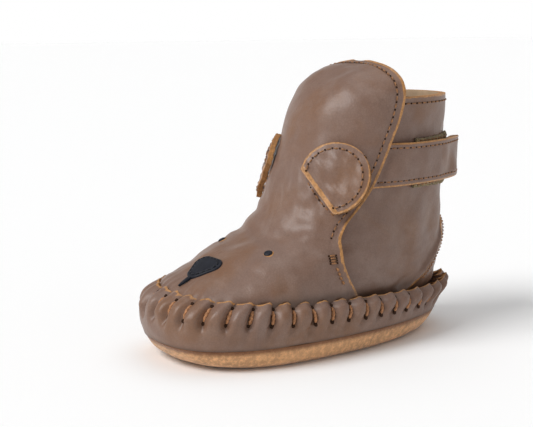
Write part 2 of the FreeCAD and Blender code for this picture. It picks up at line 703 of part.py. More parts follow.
def thread_node(node, bars):
    name = "".join(word.capitalize() for word in node.split("_"))
    return keep(node, shape_object(name, Part.makeCompound(bars)))


ON_TOP = THREAD / 2 + SEWN_GAP
# Seam rows stand a little prouder, on leather that the needle has drawn up
SEAM_PUCKER = 0.14
# The flap's edge row ends this far below the top, where the edge turns round
BELOW_TOP = 11.0
SEAM_TO_GUSSET = 1.6


def edge_line(low_z, high_z, side):
    """The raw edge's stitch line between two heights, on the outer face of the front leather."""
    inside = [point for point in edge_samples(100) if low_z <= point.z <= high_z]
    return [upper.point(point.y - size("seam_margin"), point.z, side, -ON_TOP - SEAM_PUCKER)
            for point in inside]


FOLD_BACK = size("fold_height") - math.tan(math.radians(size("fold_slope"))) * 9.5
flap_bars = []
for _, side in SIDES:
    flap_bars += stitches(edge_line(FOLD_BACK + 3.0, size("boot_height") - BELOW_TOP, side))
thread_node("flap_edge_thread", flap_bars)
for side_name, side in SIDES:
    thread_node("vamp_seam_thread_" + side_name, stitches(edge_line(23.5, 29.5, side)))

TACK_Z = size("fold_height") - 10.5
for side_name, side in SIDES:
    middle = upper.point(-8.0 * LENGTHWISE, TACK_Z, side)
    tack_box = bound("Part::Box", "TackBox" + side_name,
                     {"Width": "Sizes.tack_size", "Height": "Sizes.tack_size"})
    tack_box.Length = 10
    half_tack = size("tack_size") / 2
    corner = Vector(middle.x - 5, middle.y - half_tack, middle.z - half_tack)
    tack_box.Placement = Placement(corner, Rotation())
    tack_rings = spread(TACK_Z - 4.0, TACK_Z + 4.0, 2.0)
    tack_form = shape_object("TackForm" + side_name, upper.solid(tack_rings, -size("tack_thick")))
    tack_block = common("TackBlock" + side_name, tack_form, tack_box)
    keep("bar_tack_" + side_name, cut("BarTack" + side_name, tack_block, forms[0.0]))

top_row = size("quarter_top") - 2.2
quarter_depth = QUARTER_OUT - ON_TOP - SEAM_PUCKER
start_y = edge_y(top_row) + 3.0
near_run = [upper.point(y, top_row, 1, quarter_depth) for y in spread(start_y, 50.0 * LENGTHWISE, 2.0)]
back_reach = near_run[-1].x - 1.0
back_run = [upper.back_point(x, top_row, quarter_depth) for x in spread(-back_reach, back_reach, 2.0)[::-1]]
far_run = [Vector(-point.x, point.y, point.z) for point in near_run][::-1]
thread_node("quarter_top_thread", stitches(near_run + back_run + far_run))


def gusset_half_width(z):
    """Half width of the gusset's outline at a height."""
    downs, acrosses = zip(*GUSSET_OUTLINE)
    share = (GUSSET_TOP - z) / (GUSSET_TOP - GUSSET_FOOT)
    return smooth(list(downs), [GUSSET_HALF * across for across in acrosses], share)


seam_bars = []
for _, side in SIDES:
    seam = [upper.back_point(side * (gusset_half_width(z) + SEAM_TO_GUSSET), z, quarter_depth)
            for z in spread(22.0, size("gusset_top") - 2.0, 1.5)]
    seam_bars += stitches(seam)
thread_node("gusset_seam_thread", seam_bars)

strap_row = size("strap_bottom") + 1.6
strap_top_row = size("strap_bottom") + size("strap_width") - 1.6
strap_bars = []
for z in (strap_row, strap_top_row):
    run = [upper.point(y, z, 1, STRAP_OUT - ON_TOP)
           for y in spread(22.0 * LENGTHWISE, 52.0 * LENGTHWISE, 1.5)]
    strap_bars += stitches(run)
thread_node("strap_thread", strap_bars)

pad_bars = []
for z in (size("strap_bottom") - pad_proud / 2, size("strap_bottom") + size("strap_width") + pad_proud / 2):
    run = [upper.point(y, z, 1, LOOP_OUT - THREAD / 4 - SEWN_GAP)
           for y in spread(36.0 * LENGTHWISE, 50.0 * LENGTHWISE, 1.5)]
    pad_bars += stitches(run, diameter=THREAD / 2)
thread_node("loop_pad_thread", pad_bars)

EAR_MARGIN = 2.0
for side_name, side in SIDES:
    frame = ear_frames[side_name]
    face_radius = size("ear_bend") + 2 * size("ear_leather") + ON_TOP
    ring = EAR_RADIUS - EAR_MARGIN
    rise = size("ear_reach") - EAR_RADIUS
    swing = math.degrees(math.asin(min(1.0, (rise - 1.2) / ring)))
    rim_points = []
    for turn in spread(-swing, 180.0 + swing, 6.0):
        x = ring * math.cos(math.radians(turn))
        y = rise + ring * math.sin(math.radians(turn))
        rise_here = math.sqrt(face_radius ** 2 - y ** 2) - size("ear_bend")
        rim_points.append(frame.multVec(Vector(x, y, rise_here)))
    thread_node("ear_%s_thread" % side_name, stitches(rim_points))
    sewn = []
    for k in range(7):
        place = frame.multVec(Vector((k / 6 - 0.5) * size("ear_chord"), -3.0, 0))
        sewn.append(upper.front_point(place.x, place.z, -ON_TOP))
    thread_node("ear_%s_base_thread" % side_name, stitches(sewn))

nose_bars = []
nose_centre = Vector(0, nose_mid, 5)
nose_ring = rounded_outline([corner + (nose_centre - corner) * 0.22 for corner in nose_corners], 1.2)
nose_points = []
for point in nose_ring.discretize(Number=40):
    face_z = min(spread(18.0, 37.0, 0.02), key=lambda z: abs(upper.front_point(point.x, z).y - point.y))
    seat = upper.front_point(point.x, face_z)
    nose_points.append(seat + upper.normal(seat) * (size("nose_thick") + ON_TOP))
thread_node("nose_thread", stitches(nose_points, pitch=2.6))


def hand_stitch(turn):
    """One thick stitch lying on the sidewall just under the rim."""
    off = -size("cord_thread") / 2 - 0.05
    top = rim_height(sidewall.turned(turn, RIM_LINE).y) - 1.2
    return bar(sidewall.turned(turn, top - size("hand_stitch"), off), sidewall.turned(turn, top, off),
               size("cord_thread"))


def even_turns(count):
    """Turns that lie at even steps along the sidewall, from the middle of its left side."""
    fine = 720
    turns = [2 * math.pi * k / fine for k in range(fine + 1)]
    places = [sidewall.turned(turn, RIM_LINE) for turn in turns]
    lengths = [0.0]
    for a, b in zip(places, places[1:]):
        lengths.append(lengths[-1] + a.distanceToPoint(b))
    goals = [lengths[-1] * (k + 0.5) / count for k in range(count)]
    return [turns[max(j for j, length in enumerate(lengths) if length <= goal)] for goal in goals]


thread_node("hand_stitches", [hand_stitch(turn) for turn in even_turns(int(size("hand_stitch_count")))])

# ---------------------------------------------------------------- check and write
doc.recompute()
problems = []
for feature in doc.Objects:
    if "Invalid" in feature.State or "Error" in feature.State:
        problems.append("%s failed" % feature.Label)
for node, feature in sub_parts.items():
    shape = feature.Shape
    if shape.isNull() or not shape.isValid() or shape.Volume <= 0:
        problems.append("%s has no valid shape" % node)
if problems:
    raise RuntimeError("; ".join(problems))
os.makedirs("parts", exist_ok=True)
for node, feature in sorted(sub_parts.items()):
    feature.Shape.exportStep(os.path.join("parts", node + ".step"))
    print("%-28s solids %3d volume %9.1f" % (node, len(feature.Shape.Solids), feature.Shape.Volume))
print("nodes", len(sub_parts))
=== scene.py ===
"""A baby's soft leather bootie with an animal's face, sewn round the foot like a moccasin.

Lengths in the tables below are millimetres: +Z is up, the toe points to -Y, and the strap is on the
+X side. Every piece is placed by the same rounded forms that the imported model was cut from.
"""

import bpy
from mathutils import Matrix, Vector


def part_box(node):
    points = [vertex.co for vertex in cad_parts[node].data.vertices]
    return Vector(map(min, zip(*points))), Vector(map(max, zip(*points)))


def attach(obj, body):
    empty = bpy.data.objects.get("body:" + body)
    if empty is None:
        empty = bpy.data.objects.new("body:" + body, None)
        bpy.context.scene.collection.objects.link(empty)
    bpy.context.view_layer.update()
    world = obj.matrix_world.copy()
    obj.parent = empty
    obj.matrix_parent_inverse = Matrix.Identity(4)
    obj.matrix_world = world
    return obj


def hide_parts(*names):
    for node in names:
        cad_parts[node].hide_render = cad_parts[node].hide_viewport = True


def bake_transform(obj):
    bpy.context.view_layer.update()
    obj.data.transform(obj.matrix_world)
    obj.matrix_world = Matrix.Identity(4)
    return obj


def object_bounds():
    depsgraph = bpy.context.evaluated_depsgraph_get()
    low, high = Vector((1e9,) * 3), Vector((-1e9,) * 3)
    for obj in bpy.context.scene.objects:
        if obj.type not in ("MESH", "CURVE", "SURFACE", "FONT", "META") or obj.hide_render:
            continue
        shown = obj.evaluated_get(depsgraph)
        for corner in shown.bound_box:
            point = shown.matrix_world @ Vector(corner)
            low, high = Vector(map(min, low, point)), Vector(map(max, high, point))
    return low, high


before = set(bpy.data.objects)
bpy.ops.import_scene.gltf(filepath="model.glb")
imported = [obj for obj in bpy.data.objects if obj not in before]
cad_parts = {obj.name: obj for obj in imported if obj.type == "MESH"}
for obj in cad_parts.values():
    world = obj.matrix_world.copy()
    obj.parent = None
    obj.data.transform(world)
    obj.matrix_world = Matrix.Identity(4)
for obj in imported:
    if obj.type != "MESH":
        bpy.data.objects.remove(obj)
CAD_BOX = [list(corner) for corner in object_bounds()]

import math

import bmesh
import bpy
import numpy as np
from mathutils import Matrix, Vector

bl_info = {
    "name": "Baby Bootie",
    "version": (1, 0, 0),
    "blender": (4, 5, 0),
    "location": "3D View > Sidebar > Bootie",
    "description": "Builds a soft leather baby bootie over its packed model",
    "category": "Object",
}

MM = 0.001
FULL_TURN = 2 * math.pi
UP = np.array([0.0, 0.0, 1.0])
SIDES = (("left", 1), ("right", -1))

# ---------------------------------------------------------------- forms
# Height, front y, back y, half width, y of the widest place, roundness of the front
FRONT, BACK, HALF, WIDEST, ROUNDNESS = range(1, 6)
UPPER = [
    (6.0, -49.0, 46.0, 25.0, -12.0, 2.6), (10.0, -51.0, 49.5, 25.8, -12.0, 2.6),
    (14.0, -52.4, 52.4, 26.4, -12.0, 2.6), (18.0, -51.8, 54.3, 26.8, -11.5, 2.6),
    (22.0, -48.8, 55.2, 27.0, -10.0, 2.6), (25.0, -45.0, 55.6, 26.8, -8.0, 2.5),
    (28.0, -40.4, 55.9, 26.5, -4.0, 2.4), (31.0, -35.0, 56.1, 26.1, -1.0, 2.3),
    (33.5, -28.5, 56.2, 25.7, 2.0, 2.2), (37.0, -20.6, 56.3, 25.2, 5.0, 2.2),
    (42.0, -15.8, 56.4, 24.5, 9.0, 2.2), (48.0, -12.5, 56.6, 23.9, 12.0, 2.2),
    (57.0, -8.8, 56.7, 23.6, 16.0, 2.2), (67.0, -5.0, 56.7, 23.7, 19.0, 2.2),
    (76.0, -1.8, 56.7, 24.1, 22.0, 2.2), (82.0, 2.0, 56.7, 24.0, 23.5, 2.2),
    (86.0, 6.2, 56.5, 22.3, 24.0, 2.2), (89.0, 11.2, 55.0, 18.4, 24.0, 2.2),
    (91.0, 16.4, 50.0, 12.6, 24.0, 2.2), (92.2, 21.6, 42.0, 5.0, 24.0, 2.2),
]
SIDEWALL = [
    (7.0, -57.0, 50.5, 29.0, -14.0, 2.6), (10.0, -57.9, 52.2, 29.6, -14.0, 2.6),
    (13.0, -58.2, 54.0, 29.8, -14.0, 2.6), (16.0, -57.7, 55.8, 29.5, -13.5, 2.6),
    (19.0, -55.4, 57.2, 28.9, -13.0, 2.6), (21.0, -52.6, 58.0, 28.6, -12.0, 2.6),
    (23.0, -49.4, 58.4, 28.5, -10.0, 2.6), (25.0, -46.6, 58.6, 28.5, -9.0, 2.6),
]
OUTSOLE = [
    (0.0, -46.5, 43.0, 24.8, -14.0, 2.6), (1.4, -51.6, 45.8, 26.9, -14.0, 2.6),
    (3.8, -55.0, 48.3, 28.0, -14.0, 2.6), (7.0, -57.0, 50.5, 29.0, -14.0, 2.6),
]
# Rim of the sidewall, y and height
RIM = [(-70.0, 22.6), (-52.0, 22.2), (-40.0, 21.2), (-20.0, 19.4), (5.0, 18.2), (30.0, 17.2), (70.0, 16.8)]
# Raw rear edge of the front leather, y and height
EDGE = [
    (1.5, 8.0), (0.6, 18.8), (-2.6, 25.0), (-4.4, 30.8), (-4.2, 36.0), (-1.4, 41.0), (3.7, 46.2),
    (9.2, 52.6), (13.4, 60.0), (16.6, 67.0), (19.6, 74.0), (21.4, 80.0), (22.2, 86.0), (22.4, 96.0),
]
BACK_ROUNDNESS = 2.2
DRAWN_SOLE = (58.0, 107.5)
DRAWN_HEIGHT = 92.2
# Height at which the stitches are counted out round the sidewall
RIM_LINE = 20.0
STITCHES_ROUND = 40


def extent(node, axis):
    low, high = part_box(node)
    return (high[axis] - low[axis]) / MM


ACROSS = extent("outsole", 0) / DRAWN_SOLE[0]
ALONG = extent("outsole", 1) / DRAWN_SOLE[1]
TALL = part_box("tongue_flap")[1].z / MM / DRAWN_HEIGHT


def smooth(xs, ys, x):
    """Monotone cubic through the stations."""
    xs, ys, x = np.asarray(xs, float), np.asarray(ys, float), np.asarray(x, float)
    steps = np.diff(ys) / np.diff(xs)
    before, after = steps[:-1], steps[1:]
    total = np.where(before + after == 0, 1.0, before + after)
    inner = np.where(before * after <= 0, 0.0, 2 * before * after / total)
    slopes = np.concatenate([steps[:1], inner, steps[-1:]])
    i = np.clip(np.searchsorted(xs, x, side="right") - 1, 0, len(xs) - 2)
    span = xs[i + 1] - xs[i]
    u = np.clip((x - xs[i]) / span, 0, 1)
    value = (2 * u ** 3 - 3 * u ** 2 + 1) * ys[i] + (3 * u ** 2 - 2 * u ** 3) * ys[i + 1]
    value += span * ((u ** 3 - 2 * u ** 2 + u) * slopes[i] + (u ** 3 - u ** 2) * slopes[i + 1])
    return value + np.minimum(x - xs[0], 0) * slopes[0] + np.maximum(x - xs[-1], 0) * slopes[-1]


def step_up(low, high, x):
    """0 below low, 1 above high, and a smooth rise between them."""
    share = np.clip((np.asarray(x, float) - low) / (high - low), 0, 1)
    return share * share * (3 - 2 * share)


def hump(x, middle, width):
    """A bell that is 1 at its middle."""
    return np.exp(-((x - middle) / width) ** 2)


def fade_up(x, start, reach):
    """1 up to start, and dying away above it."""
    return np.exp(-np.maximum(x - start, 0) / reach)


def rows_of(x, y, z):
    return np.stack(np.broadcast_arrays(np.asarray(x, float), y, z), -1)


class Form:
    """A rounded form given by stations, and the same form shrunk by any depth."""

    FINE = 160

    def __init__(self, rows):
        table = np.array(rows)
        table[:, [FRONT, BACK, WIDEST]] *= ALONG
        table[:, HALF] *= ACROSS
        self.columns = table.T
        self.lines = {}

    def column(self, number, z):
        return smooth(self.columns[0], self.columns[number], z)

    def reach(self, number, inward, depth, z):
        """The outline FRONT, BACK or HALF at height z, moved by depth at right angles to itself."""
        key = (number, round(depth, 3))
        if key not in self.lines:
            heights = np.linspace(self.columns[0][0], self.columns[0][-1], self.FINE)
            step = heights[1] - heights[0]
            value = self.column(number, heights)
            rise = self.column(number, heights + step / 4) - self.column(number, heights - step / 4)
            slope = rise / (step / 2)
            slant = np.hypot(1, slope)
            moved = heights - inward * depth * slope / slant
            order = np.argsort(moved)
            self.lines[key] = moved[order], (value + inward * depth / slant)[order]
        heights, values = self.lines[key]
        low_slope = (values[1] - values[0]) / max(heights[1] - heights[0], 1e-9)
        return np.interp(z, heights, values) + np.minimum(z - heights[0], 0) * low_slope

    def half_section(self, z, depth, behind):
        """Half width, widest place, reach forwards or backwards and roundness at height z."""
        half, widest = self.reach(HALF, -1, depth, z), self.column(WIDEST, z)
        back = self.reach(BACK, -1, depth, z) - widest
        front = self.reach(FRONT, 1, depth, z) - widest
        power = np.where(behind, BACK_ROUNDNESS, self.column(ROUNDNESS, z))
        return half, widest, np.where(behind, back, front), power

    def turned(self, turn, z, depth=0.0):
        """Point of the surface at an angle round the section: 0 on the left side, 90 degrees behind."""
        turn, z = np.broadcast_arrays(np.asarray(turn, float), np.asarray(z, float))
        across, along = np.cos(turn), np.sin(turn)
        half, widest, reach, power = self.half_section(z, depth, along > 0)
        x = half * np.sign(across) * np.abs(across) ** (2 / power)
        return rows_of(x, widest + reach * np.abs(along) ** (2 / power), z)

    def point(self, y, z, side, depth=0.0):
        """Point of the surface at y and z, on the side +1 or -1."""
        half, widest, reach, power = self.half_section(z, depth, y > self.column(WIDEST, z))
        share = np.maximum(0.0, 1 - np.abs((y - widest) / reach) ** power)
        return rows_of(side * half * share ** (1 / power), y, z)

    def face_point(self, x, z, depth=0.0, behind=False):
        """Point of the front or back half of the surface at x and z."""
        half, widest, reach, power = self.half_section(z, depth, behind)
        share = np.maximum(0.0, 1 - np.abs(x / half) ** power)
        return rows_of(x, widest + reach * share ** (1 / power), z)

    def turn_at(self, y, z, depth=0.0):
        """The turn, on the left side, of the point at y and z."""
        behind = y > self.column(WIDEST, z)
        _, widest, reach, power = self.half_section(z, depth, behind)
        share = np.clip(np.abs((y - widest) / reach), 0, 1) ** (power / 2)
        return np.where(behind, 1, -1) * np.arcsin(share)

    def normal(self, place, nudge=0.4, behind=False):
        """Outward direction at points of the front or back half."""
        x, z = place[..., 0], place[..., 2]
        beside = self.face_point(x + nudge, z, behind=behind) - self.face_point(x - nudge, z, behind=behind)
        above = self.face_point(x, z + nudge, behind=behind) - self.face_point(x, z - nudge, behind=behind)
        return unit(np.cross(beside, above) * (-1 if behind else 1))


def unit(vectors):
    return vectors / np.maximum(np.linalg.norm(vectors, axis=-1, keepdims=True), 1e-12)


upper = Form(UPPER)
sidewall = Form(SIDEWALL)
outsole = Form(OUTSOLE)


def closed_in(low, high, falls_short, halvings=28):
    """The values between low and high at which falls_short turns from true to false."""
    for _ in range(halvings):
        middle = (low + high) / 2
        short = falls_short(middle)
        low, high = np.where(short, middle, low), np.where(short, high, middle)
    return (low + high) / 2


def edge_y(z):
    return smooth([z for _, z in EDGE], [y for y, _ in EDGE], z) * ALONG


def run_lengths(points):
    """How far along a line of points each one is."""
    return np.concatenate([[0.0], np.cumsum(np.linalg.norm(np.diff(points, axis=0), axis=1))])


def stitch_phase(turn):
    """Stitches passed on the way round the sidewall to a turn, at even steps along its rim."""
    fine = np.linspace(0, FULL_TURN, 721)
    lengths = run_lengths(sidewall.turned(fine, RIM_LINE))
    return np.interp(np.mod(turn, FULL_TURN + 1e-9), fine, lengths / lengths[-1] * STITCHES_ROUND)


def rim_height(y):
    return smooth([y for y, _ in RIM], [z for _, z in RIM], y / ALONG)


# ---------------------------------------------------------------- sizes and colours
def length(name, description, default):
    return bpy.props.FloatProperty(name=name, description=description, default=default, unit="LENGTH")


class BootieSizes(bpy.types.PropertyGroup):
    """Sizes that a maker would change"""
    leather: length("Leather", "Thickness of the upper's leather", 0.0014)
    lining: length("Lining", "Thickness of the lining leather", 0.001)
    flap_gap: length("Flap gap", "Room between the flap's lining and the quarter", 0.00045)
    ear_leather: length("Ear leather", "Thickness of each of an ear's two leathers", 0.0009)
    sidewall_leather: length("Sidewall leather", "Thickness of the puckered sidewall", 0.0017)
    pucker: length("Pucker", "Depth of the dimples that the hand stitches pull", 0.0019)
    hand_thread: length("Hand thread", "Thickness of the hand-sewn cord", 0.0011)
    thread: length("Thread", "Thickness of the machine stitches", 0.0005)
    seam_margin: length("Seam margin", "Stitch row inside the flap's raw edge", 0.003)
    wrinkle: length("Wrinkle", "Height of the soft folds in the upper", 0.00032)


def colour(name, description, default):
    return bpy.props.FloatVectorProperty(
        name=name, description=description, subtype="COLOR", size=3, min=0, max=1, default=default)


class BootieColours(bpy.types.PropertyGroup):
    """Colours of the leathers and threads"""
    leather: colour("Leather", "Grain side of the upper", (0.185, 0.108, 0.078))
    # Painted sheen: a pale, greyish colour that stands in for the leather's highlights, laid in patches at
    # random
    leather_sheen: colour("Leather sheen", "Paler, worn high places", (0.255, 0.175, 0.14))
    leather_warm: colour("Leather warm", "Warm patches", (0.19, 0.094, 0.05))
    raw_edge: colour("Raw edge", "Cut edge of the leather", (0.52, 0.25, 0.085))
    thread: colour("Thread", "Machine stitches", (0.36, 0.165, 0.065))
    hand_thread: colour("Hand thread", "Hand-sewn cord", (0.50, 0.225, 0.095))
    # Painted shade: a near-black colour that stands in for the shade inside the needle holes
    hole: colour("Hole", "Inside of the needle holes", (0.035, 0.017, 0.01))
    suede: colour("Suede", "Outsole", (0.74, 0.41, 0.20))
    lining: colour("Lining", "Lining leather", (0.52, 0.37, 0.24))
    black: colour("Black leather", "Nose, mouth and eyes", (0.007, 0.008, 0.014))
    tape: colour("Tape", "Hook and loop tape", (0.40, 0.29, 0.13))
    floor: colour("Floor", "Floor under the bootie", (0.95, 0.95, 0.95))


def mm_size(name):
    return getattr(bpy.context.scene.bootie_sizes, name) / MM


def depths():
    """Depths of the layers from the outer form."""
    leather, lining = mm_size("leather"), mm_size("lining")
    quarter = leather + lining + mm_size("flap_gap")
    return {"lining": leather, "quarter": quarter, "quarter_lining": quarter + leather}


# ---------------------------------------------------------------- materials
class Shader:
    """Short calls for building one material's nodes."""

    def __init__(self, name, roughness, **sockets):
        self.material = bpy.data.materials.new(name)
        self.material.use_nodes = True
        self.nodes = self.material.node_tree.nodes
        self.links = self.material.node_tree.links
        self.surface = self.nodes["Principled BSDF"]
        self.surface.inputs["Roughness"].default_value = roughness
        for socket, value in sockets.items():
            self.surface.inputs[socket.replace("_", " ")].default_value = value
        self.place = self.nodes.new("ShaderNodeTexCoord").outputs["Object"]

    def noise(self, scale, detail=4.0, rough=0.55, distort=0.0, stretch=None):
        node = self.nodes.new("ShaderNodeTexNoise")
        node.inputs["Scale"].default_value = scale
        node.inputs["Detail"].default_value = detail
        node.inputs["Roughness"].default_value = rough
        node.inputs["Distortion"].default_value = distort
        self.links.new(self.stretched(stretch), node.inputs["Vector"])
        return node.outputs["Fac"]

    def stretched(self, stretch):
        if stretch is None:
            return self.place
        node = self.nodes.new("ShaderNodeMapping")
        node.inputs["Scale"].default_value = stretch
        self.links.new(self.place, node.inputs["Vector"])
        return node.outputs["Vector"]

    def cells(self, scale):
        node = self.nodes.new("ShaderNodeTexVoronoi")
        node.feature = "DISTANCE_TO_EDGE"
        node.inputs["Scale"].default_value = scale
        self.links.new(self.place, node.inputs["Vector"])
        return node.outputs["Distance"]

    def attribute(self, name):
        node = self.nodes.new("ShaderNodeAttribute")
        node.attribute_name = name
        return node.outputs["Fac"]

    def ramp(self, value, low, high):
        node = self.nodes.new("ShaderNodeMapRange")
        node.interpolation_type = "SMOOTHSTEP"
        node.inputs["From Min"].default_value = low
        node.inputs["From Max"].default_value = high
        self.links.new(value, node.inputs["Value"])
        return node.outputs["Result"]

    def feed(self, value, socket):
        """Link another node's output to a socket, or set the socket to a number or a colour."""
        if hasattr(value, "is_linked"):
            self.links.new(value, socket)
        elif isinstance(value, (int, float)):
            socket.default_value = value
        else:
            socket.default_value = (*value, 1.0)

    def maths(self, operation, a, b):
        node = self.nodes.new("ShaderNodeMath")
        node.operation = operation
        self.feed(a, node.inputs[0])
        self.feed(b, node.inputs[1])
        return node.outputs[0]

    def blend(self, share, first, second):
        node = self.nodes.new("ShaderNodeMix")
        node.data_type = "RGBA"
        self.feed(share, node.inputs["Factor"])
        self.feed(first, node.inputs[6])
        self.feed(second, node.inputs[7])
        return node.outputs[2]

    def scaled(self, value, most):
        return self.maths("MULTIPLY", value, most)

    def mottled(self, tint, shade, scale, detail, rough, low, high):
        """The tint, darkened in patches to a share of itself."""
        patches = self.ramp(self.noise(scale, detail, rough), low, high)
        return self.blend(patches, toned(tint, shade), tint)

    def bump(self, layers):
        """Stack of (height, strength, distance in millimetres)."""
        last = None
        for height, strength, distance in layers:
            node = self.nodes.new("ShaderNodeBump")
            node.inputs["Strength"].default_value = strength
            node.inputs["Distance"].default_value = distance * MM
            self.links.new(height, node.inputs["Height"])
            if last:
                self.links.new(last, node.inputs["Normal"])
            last = node.outputs["Normal"]
        self.links.new(last, self.surface.inputs["Normal"])
        return self

    def paint(self, tint):
        self.feed(tint, self.surface.inputs["Base Color"])
        return self


def toned(tint, share):
    return tuple(min(1.0, share * part) for part in tint)


made_materials = {}


def finish_of(name):
    """The material of that name, made the first time that it is asked for."""
    if name not in made_materials:
        made_materials[name] = MAKERS[name](bpy.context.scene.bootie_colours).material
    return made_materials[name]


PORES = 1150


def grain_leather(colours):
    shader = Shader("GrainLeather", 0.43, Specular_IOR_Level=0.42, Coat_Weight=0.06, Coat_Roughness=0.3)
    patches = shader.ramp(shader.noise(48, 3.0, distort=0.6), 0.42, 0.72)
    tone = shader.blend(patches, colours.leather, colours.leather_warm)
    # Painted sheen: pale patches spread at random by noise
    sheen_patches = shader.ramp(shader.noise(150, 6.0, 0.62), 0.38, 0.75)
    tone = shader.blend(shader.scaled(sheen_patches, 0.45), tone, colours.leather_sheen)
    walls = shader.scaled(shader.ramp(shader.cells(PORES), 0.0, 0.12), 0.22)
    tone = shader.blend(shader.maths("SUBTRACT", 0.22, walls), tone, toned(colours.leather, 0.45))
    frayed = shader.scaled(shader.maths("SUBTRACT", shader.noise(700, 5.0), 0.5), 0.9)
    raw = shader.ramp(shader.maths("ADD", shader.attribute("raw"), frayed), 0.42, 0.62)
    tone = shader.blend(raw, tone, shader.mottled(colours.raw_edge, 0.6, 1000, 4.0, 0.7, 0.35, 0.7))
    # Painted shade: darker where the mesh's crease mark says, low down inside the sidewall and in the
    # sidewall's pinches
    shade = shader.scaled(shader.ramp(shader.attribute("crease"), 0.0, 1.0), 0.75)
    tone = shader.blend(shade, tone, toned(colours.leather_warm, 0.3))
    return shader.paint(tone).bump([
        (shader.noise(95, 4.0, 0.6, 0.8), 0.30, 0.9), (shader.noise(420, 4.0, 0.65, 1.5), 0.28, 0.22),
        (shader.noise(520, 3.0, 0.6, 0.9, (1.0, 1.0, 0.28)), 0.30, 0.22),
        (shader.cells(PORES), 0.32, 0.10), (shader.noise(3200, 2.0), 0.16, 0.04)])


def cut_edge(colours):
    shader = Shader("RawLeatherEdge", 0.85)
    tone = shader.mottled(colours.raw_edge, 0.55, 900, 5.0, 0.7, 0.35, 0.7)
    return shader.paint(tone).bump([(shader.noise(1500, 5.0, 0.75), 0.8, 0.25)])


def spun_thread(name, tint):
    shader = Shader(name, 0.72)
    tone = shader.mottled(tint, 0.5, 1400, 4.0, 0.7, 0.3, 0.7)
    return shader.paint(tone).bump([(shader.noise(2400, 3.0, 0.7), 0.6, 0.12)])


# Flat near-black material: painted shade inside the needle holes
def needle_hole_shade(colours):
    return Shader("NeedleHoleShade", 0.95, Specular_IOR_Level=0.1).paint(colours.hole)


def suede(colours):
    shader = Shader("SpeckledSuede", 0.95, Specular_IOR_Level=0.15, Sheen_Weight=0.25)
    tone = shader.mottled(colours.suede, 0.52, 620, 6.0, 0.75, 0.40, 0.66)
    broad = shader.ramp(shader.noise(90, 3.0), 0.35, 0.7)
    tone = shader.blend(shader.scaled(broad, 0.35), tone, toned(colours.suede, 1.25))
    # Darker towards the top of the outsole's wall: partly the suede's own reddish-brown, partly painted
    # shadow under the overhanging sidewall
    top = shader.ramp(shader.attribute("crease"), 0.0, 1.0)
    tone = shader.blend(shader.scaled(top, 0.85), tone, (0.13, 0.045, 0.02))
    return shader.paint(tone).bump([(shader.noise(700, 6.0, 0.75), 0.8, 0.35)])


def lining_leather(colours):
    shader = Shader("LiningLeather", 0.78, Specular_IOR_Level=0.25)
    tone = shader.mottled(colours.lining, 0.82, 160, 5.0, 0.6, 0.35, 0.7)
    grain = shader.noise(600, 4.0, 0.65)
    return shader.paint(tone).bump([(grain, 0.35, 0.15), (shader.cells(1300), 0.2, 0.06)])


def black_leather(colours):
    shader = Shader("BlackLeather", 0.5, Specular_IOR_Level=0.22)
    haze = shader.ramp(shader.noise(300, 4.0), 0.4, 0.75)
    tone = shader.blend(shader.scaled(haze, 0.5), colours.black, (0.016, 0.018, 0.027))
    grain = shader.noise(420, 4.0, 0.65)
    return shader.paint(tone).bump([(grain, 0.35, 0.2), (shader.cells(PORES), 0.3, 0.08)])


def napped_tape(colours):
    shader = Shader("NappedTape", 0.95, Sheen_Weight=0.3)
    tone = shader.mottled(colours.tape, 0.35, 1300, 6.0, 0.8, 0.36, 0.66)
    return shader.paint(tone).bump([(shader.noise(1100, 6.0, 0.8), 1.0, 0.5)])


def foam(colours):
    shader = Shader("SoleFoam", 0.9)
    return shader.paint(toned(colours.floor, 0.9)).bump([(shader.cells(1500), 0.4, 0.2)])


MAKERS = {
    "leather": grain_leather, "edge": cut_edge, "hole": needle_hole_shade, "suede": suede,
    "lining": lining_leather, "black": black_leather, "tape": napped_tape, "foam": foam,
    "thread": lambda colours: spun_thread("SewingThread", colours.thread),
    "hand": lambda colours: spun_thread("HandThread", colours.hand_thread),
    "black_thread": lambda colours: spun_thread("BlackThread", colours.black),
}


# ---------------------------------------------------------------- making pieces
def finish_faces(verts, slot):
    for vert in verts:
        for face in vert.link_faces:
            face.material_index = slot
            face.smooth = True


def patch(bm, across, along, place, slot=0, marks=None):
    """A grid whose vertices stand where place(u, v) says, with u and v from 0 to 1."""
    marks = marks or {}
    layers = {name: bm.verts.layers.float.get(name) or bm.verts.layers.float.new(name) for name in marks}
    made = bmesh.ops.create_grid(bm, x_segments=across, y_segments=along, size=0.5)["verts"]
    flat = np.array([vert.co[:2] for vert in made]) + 0.5
    u, v = np.clip(flat[:, 0], 0, 1), np.clip(flat[:, 1], 0, 1)
    points = place(u, v)
    for vert, point in zip(made, points * MM):
        vert.co = point
    finish_faces(made, slot)
    for name, mark in marks.items():
        for vert, value in zip(made, mark(points, u, v)):
            vert[layers[name]] = value


def lifted(place, height, step=2e-3):
    """The surface place(u, v), raised along its own normals by height(points, u, v)."""
    def raised(u, v):
        points = place(u, v)
        across = place(np.minimum(u + step, 1), v) - place(np.maximum(u - step, 0), v)
        up = place(u, np.minimum(v + step, 1)) - place(u, np.maximum(v - step, 0))
        return points + unit(np.cross(across, up)) * height(points, u, v)[:, None]
    return raised


def ripple(points, wavelength, seed, stretch=(1.0, 1.0, 1.0)):
    """A smooth random field between about -1 and 1, with folds of about one wavelength."""
    draw = np.random.default_rng(seed)
    waves = 14
    ways = unit(draw.normal(size=(waves, 3))) * draw.uniform(0.6, 1.5, (waves, 1)) * FULL_TURN / wavelength
    phase = (points * np.array(stretch)) @ ways.T + draw.uniform(0, FULL_TURN, waves)
    return np.sin(phase).sum(-1) / math.sqrt(waves)


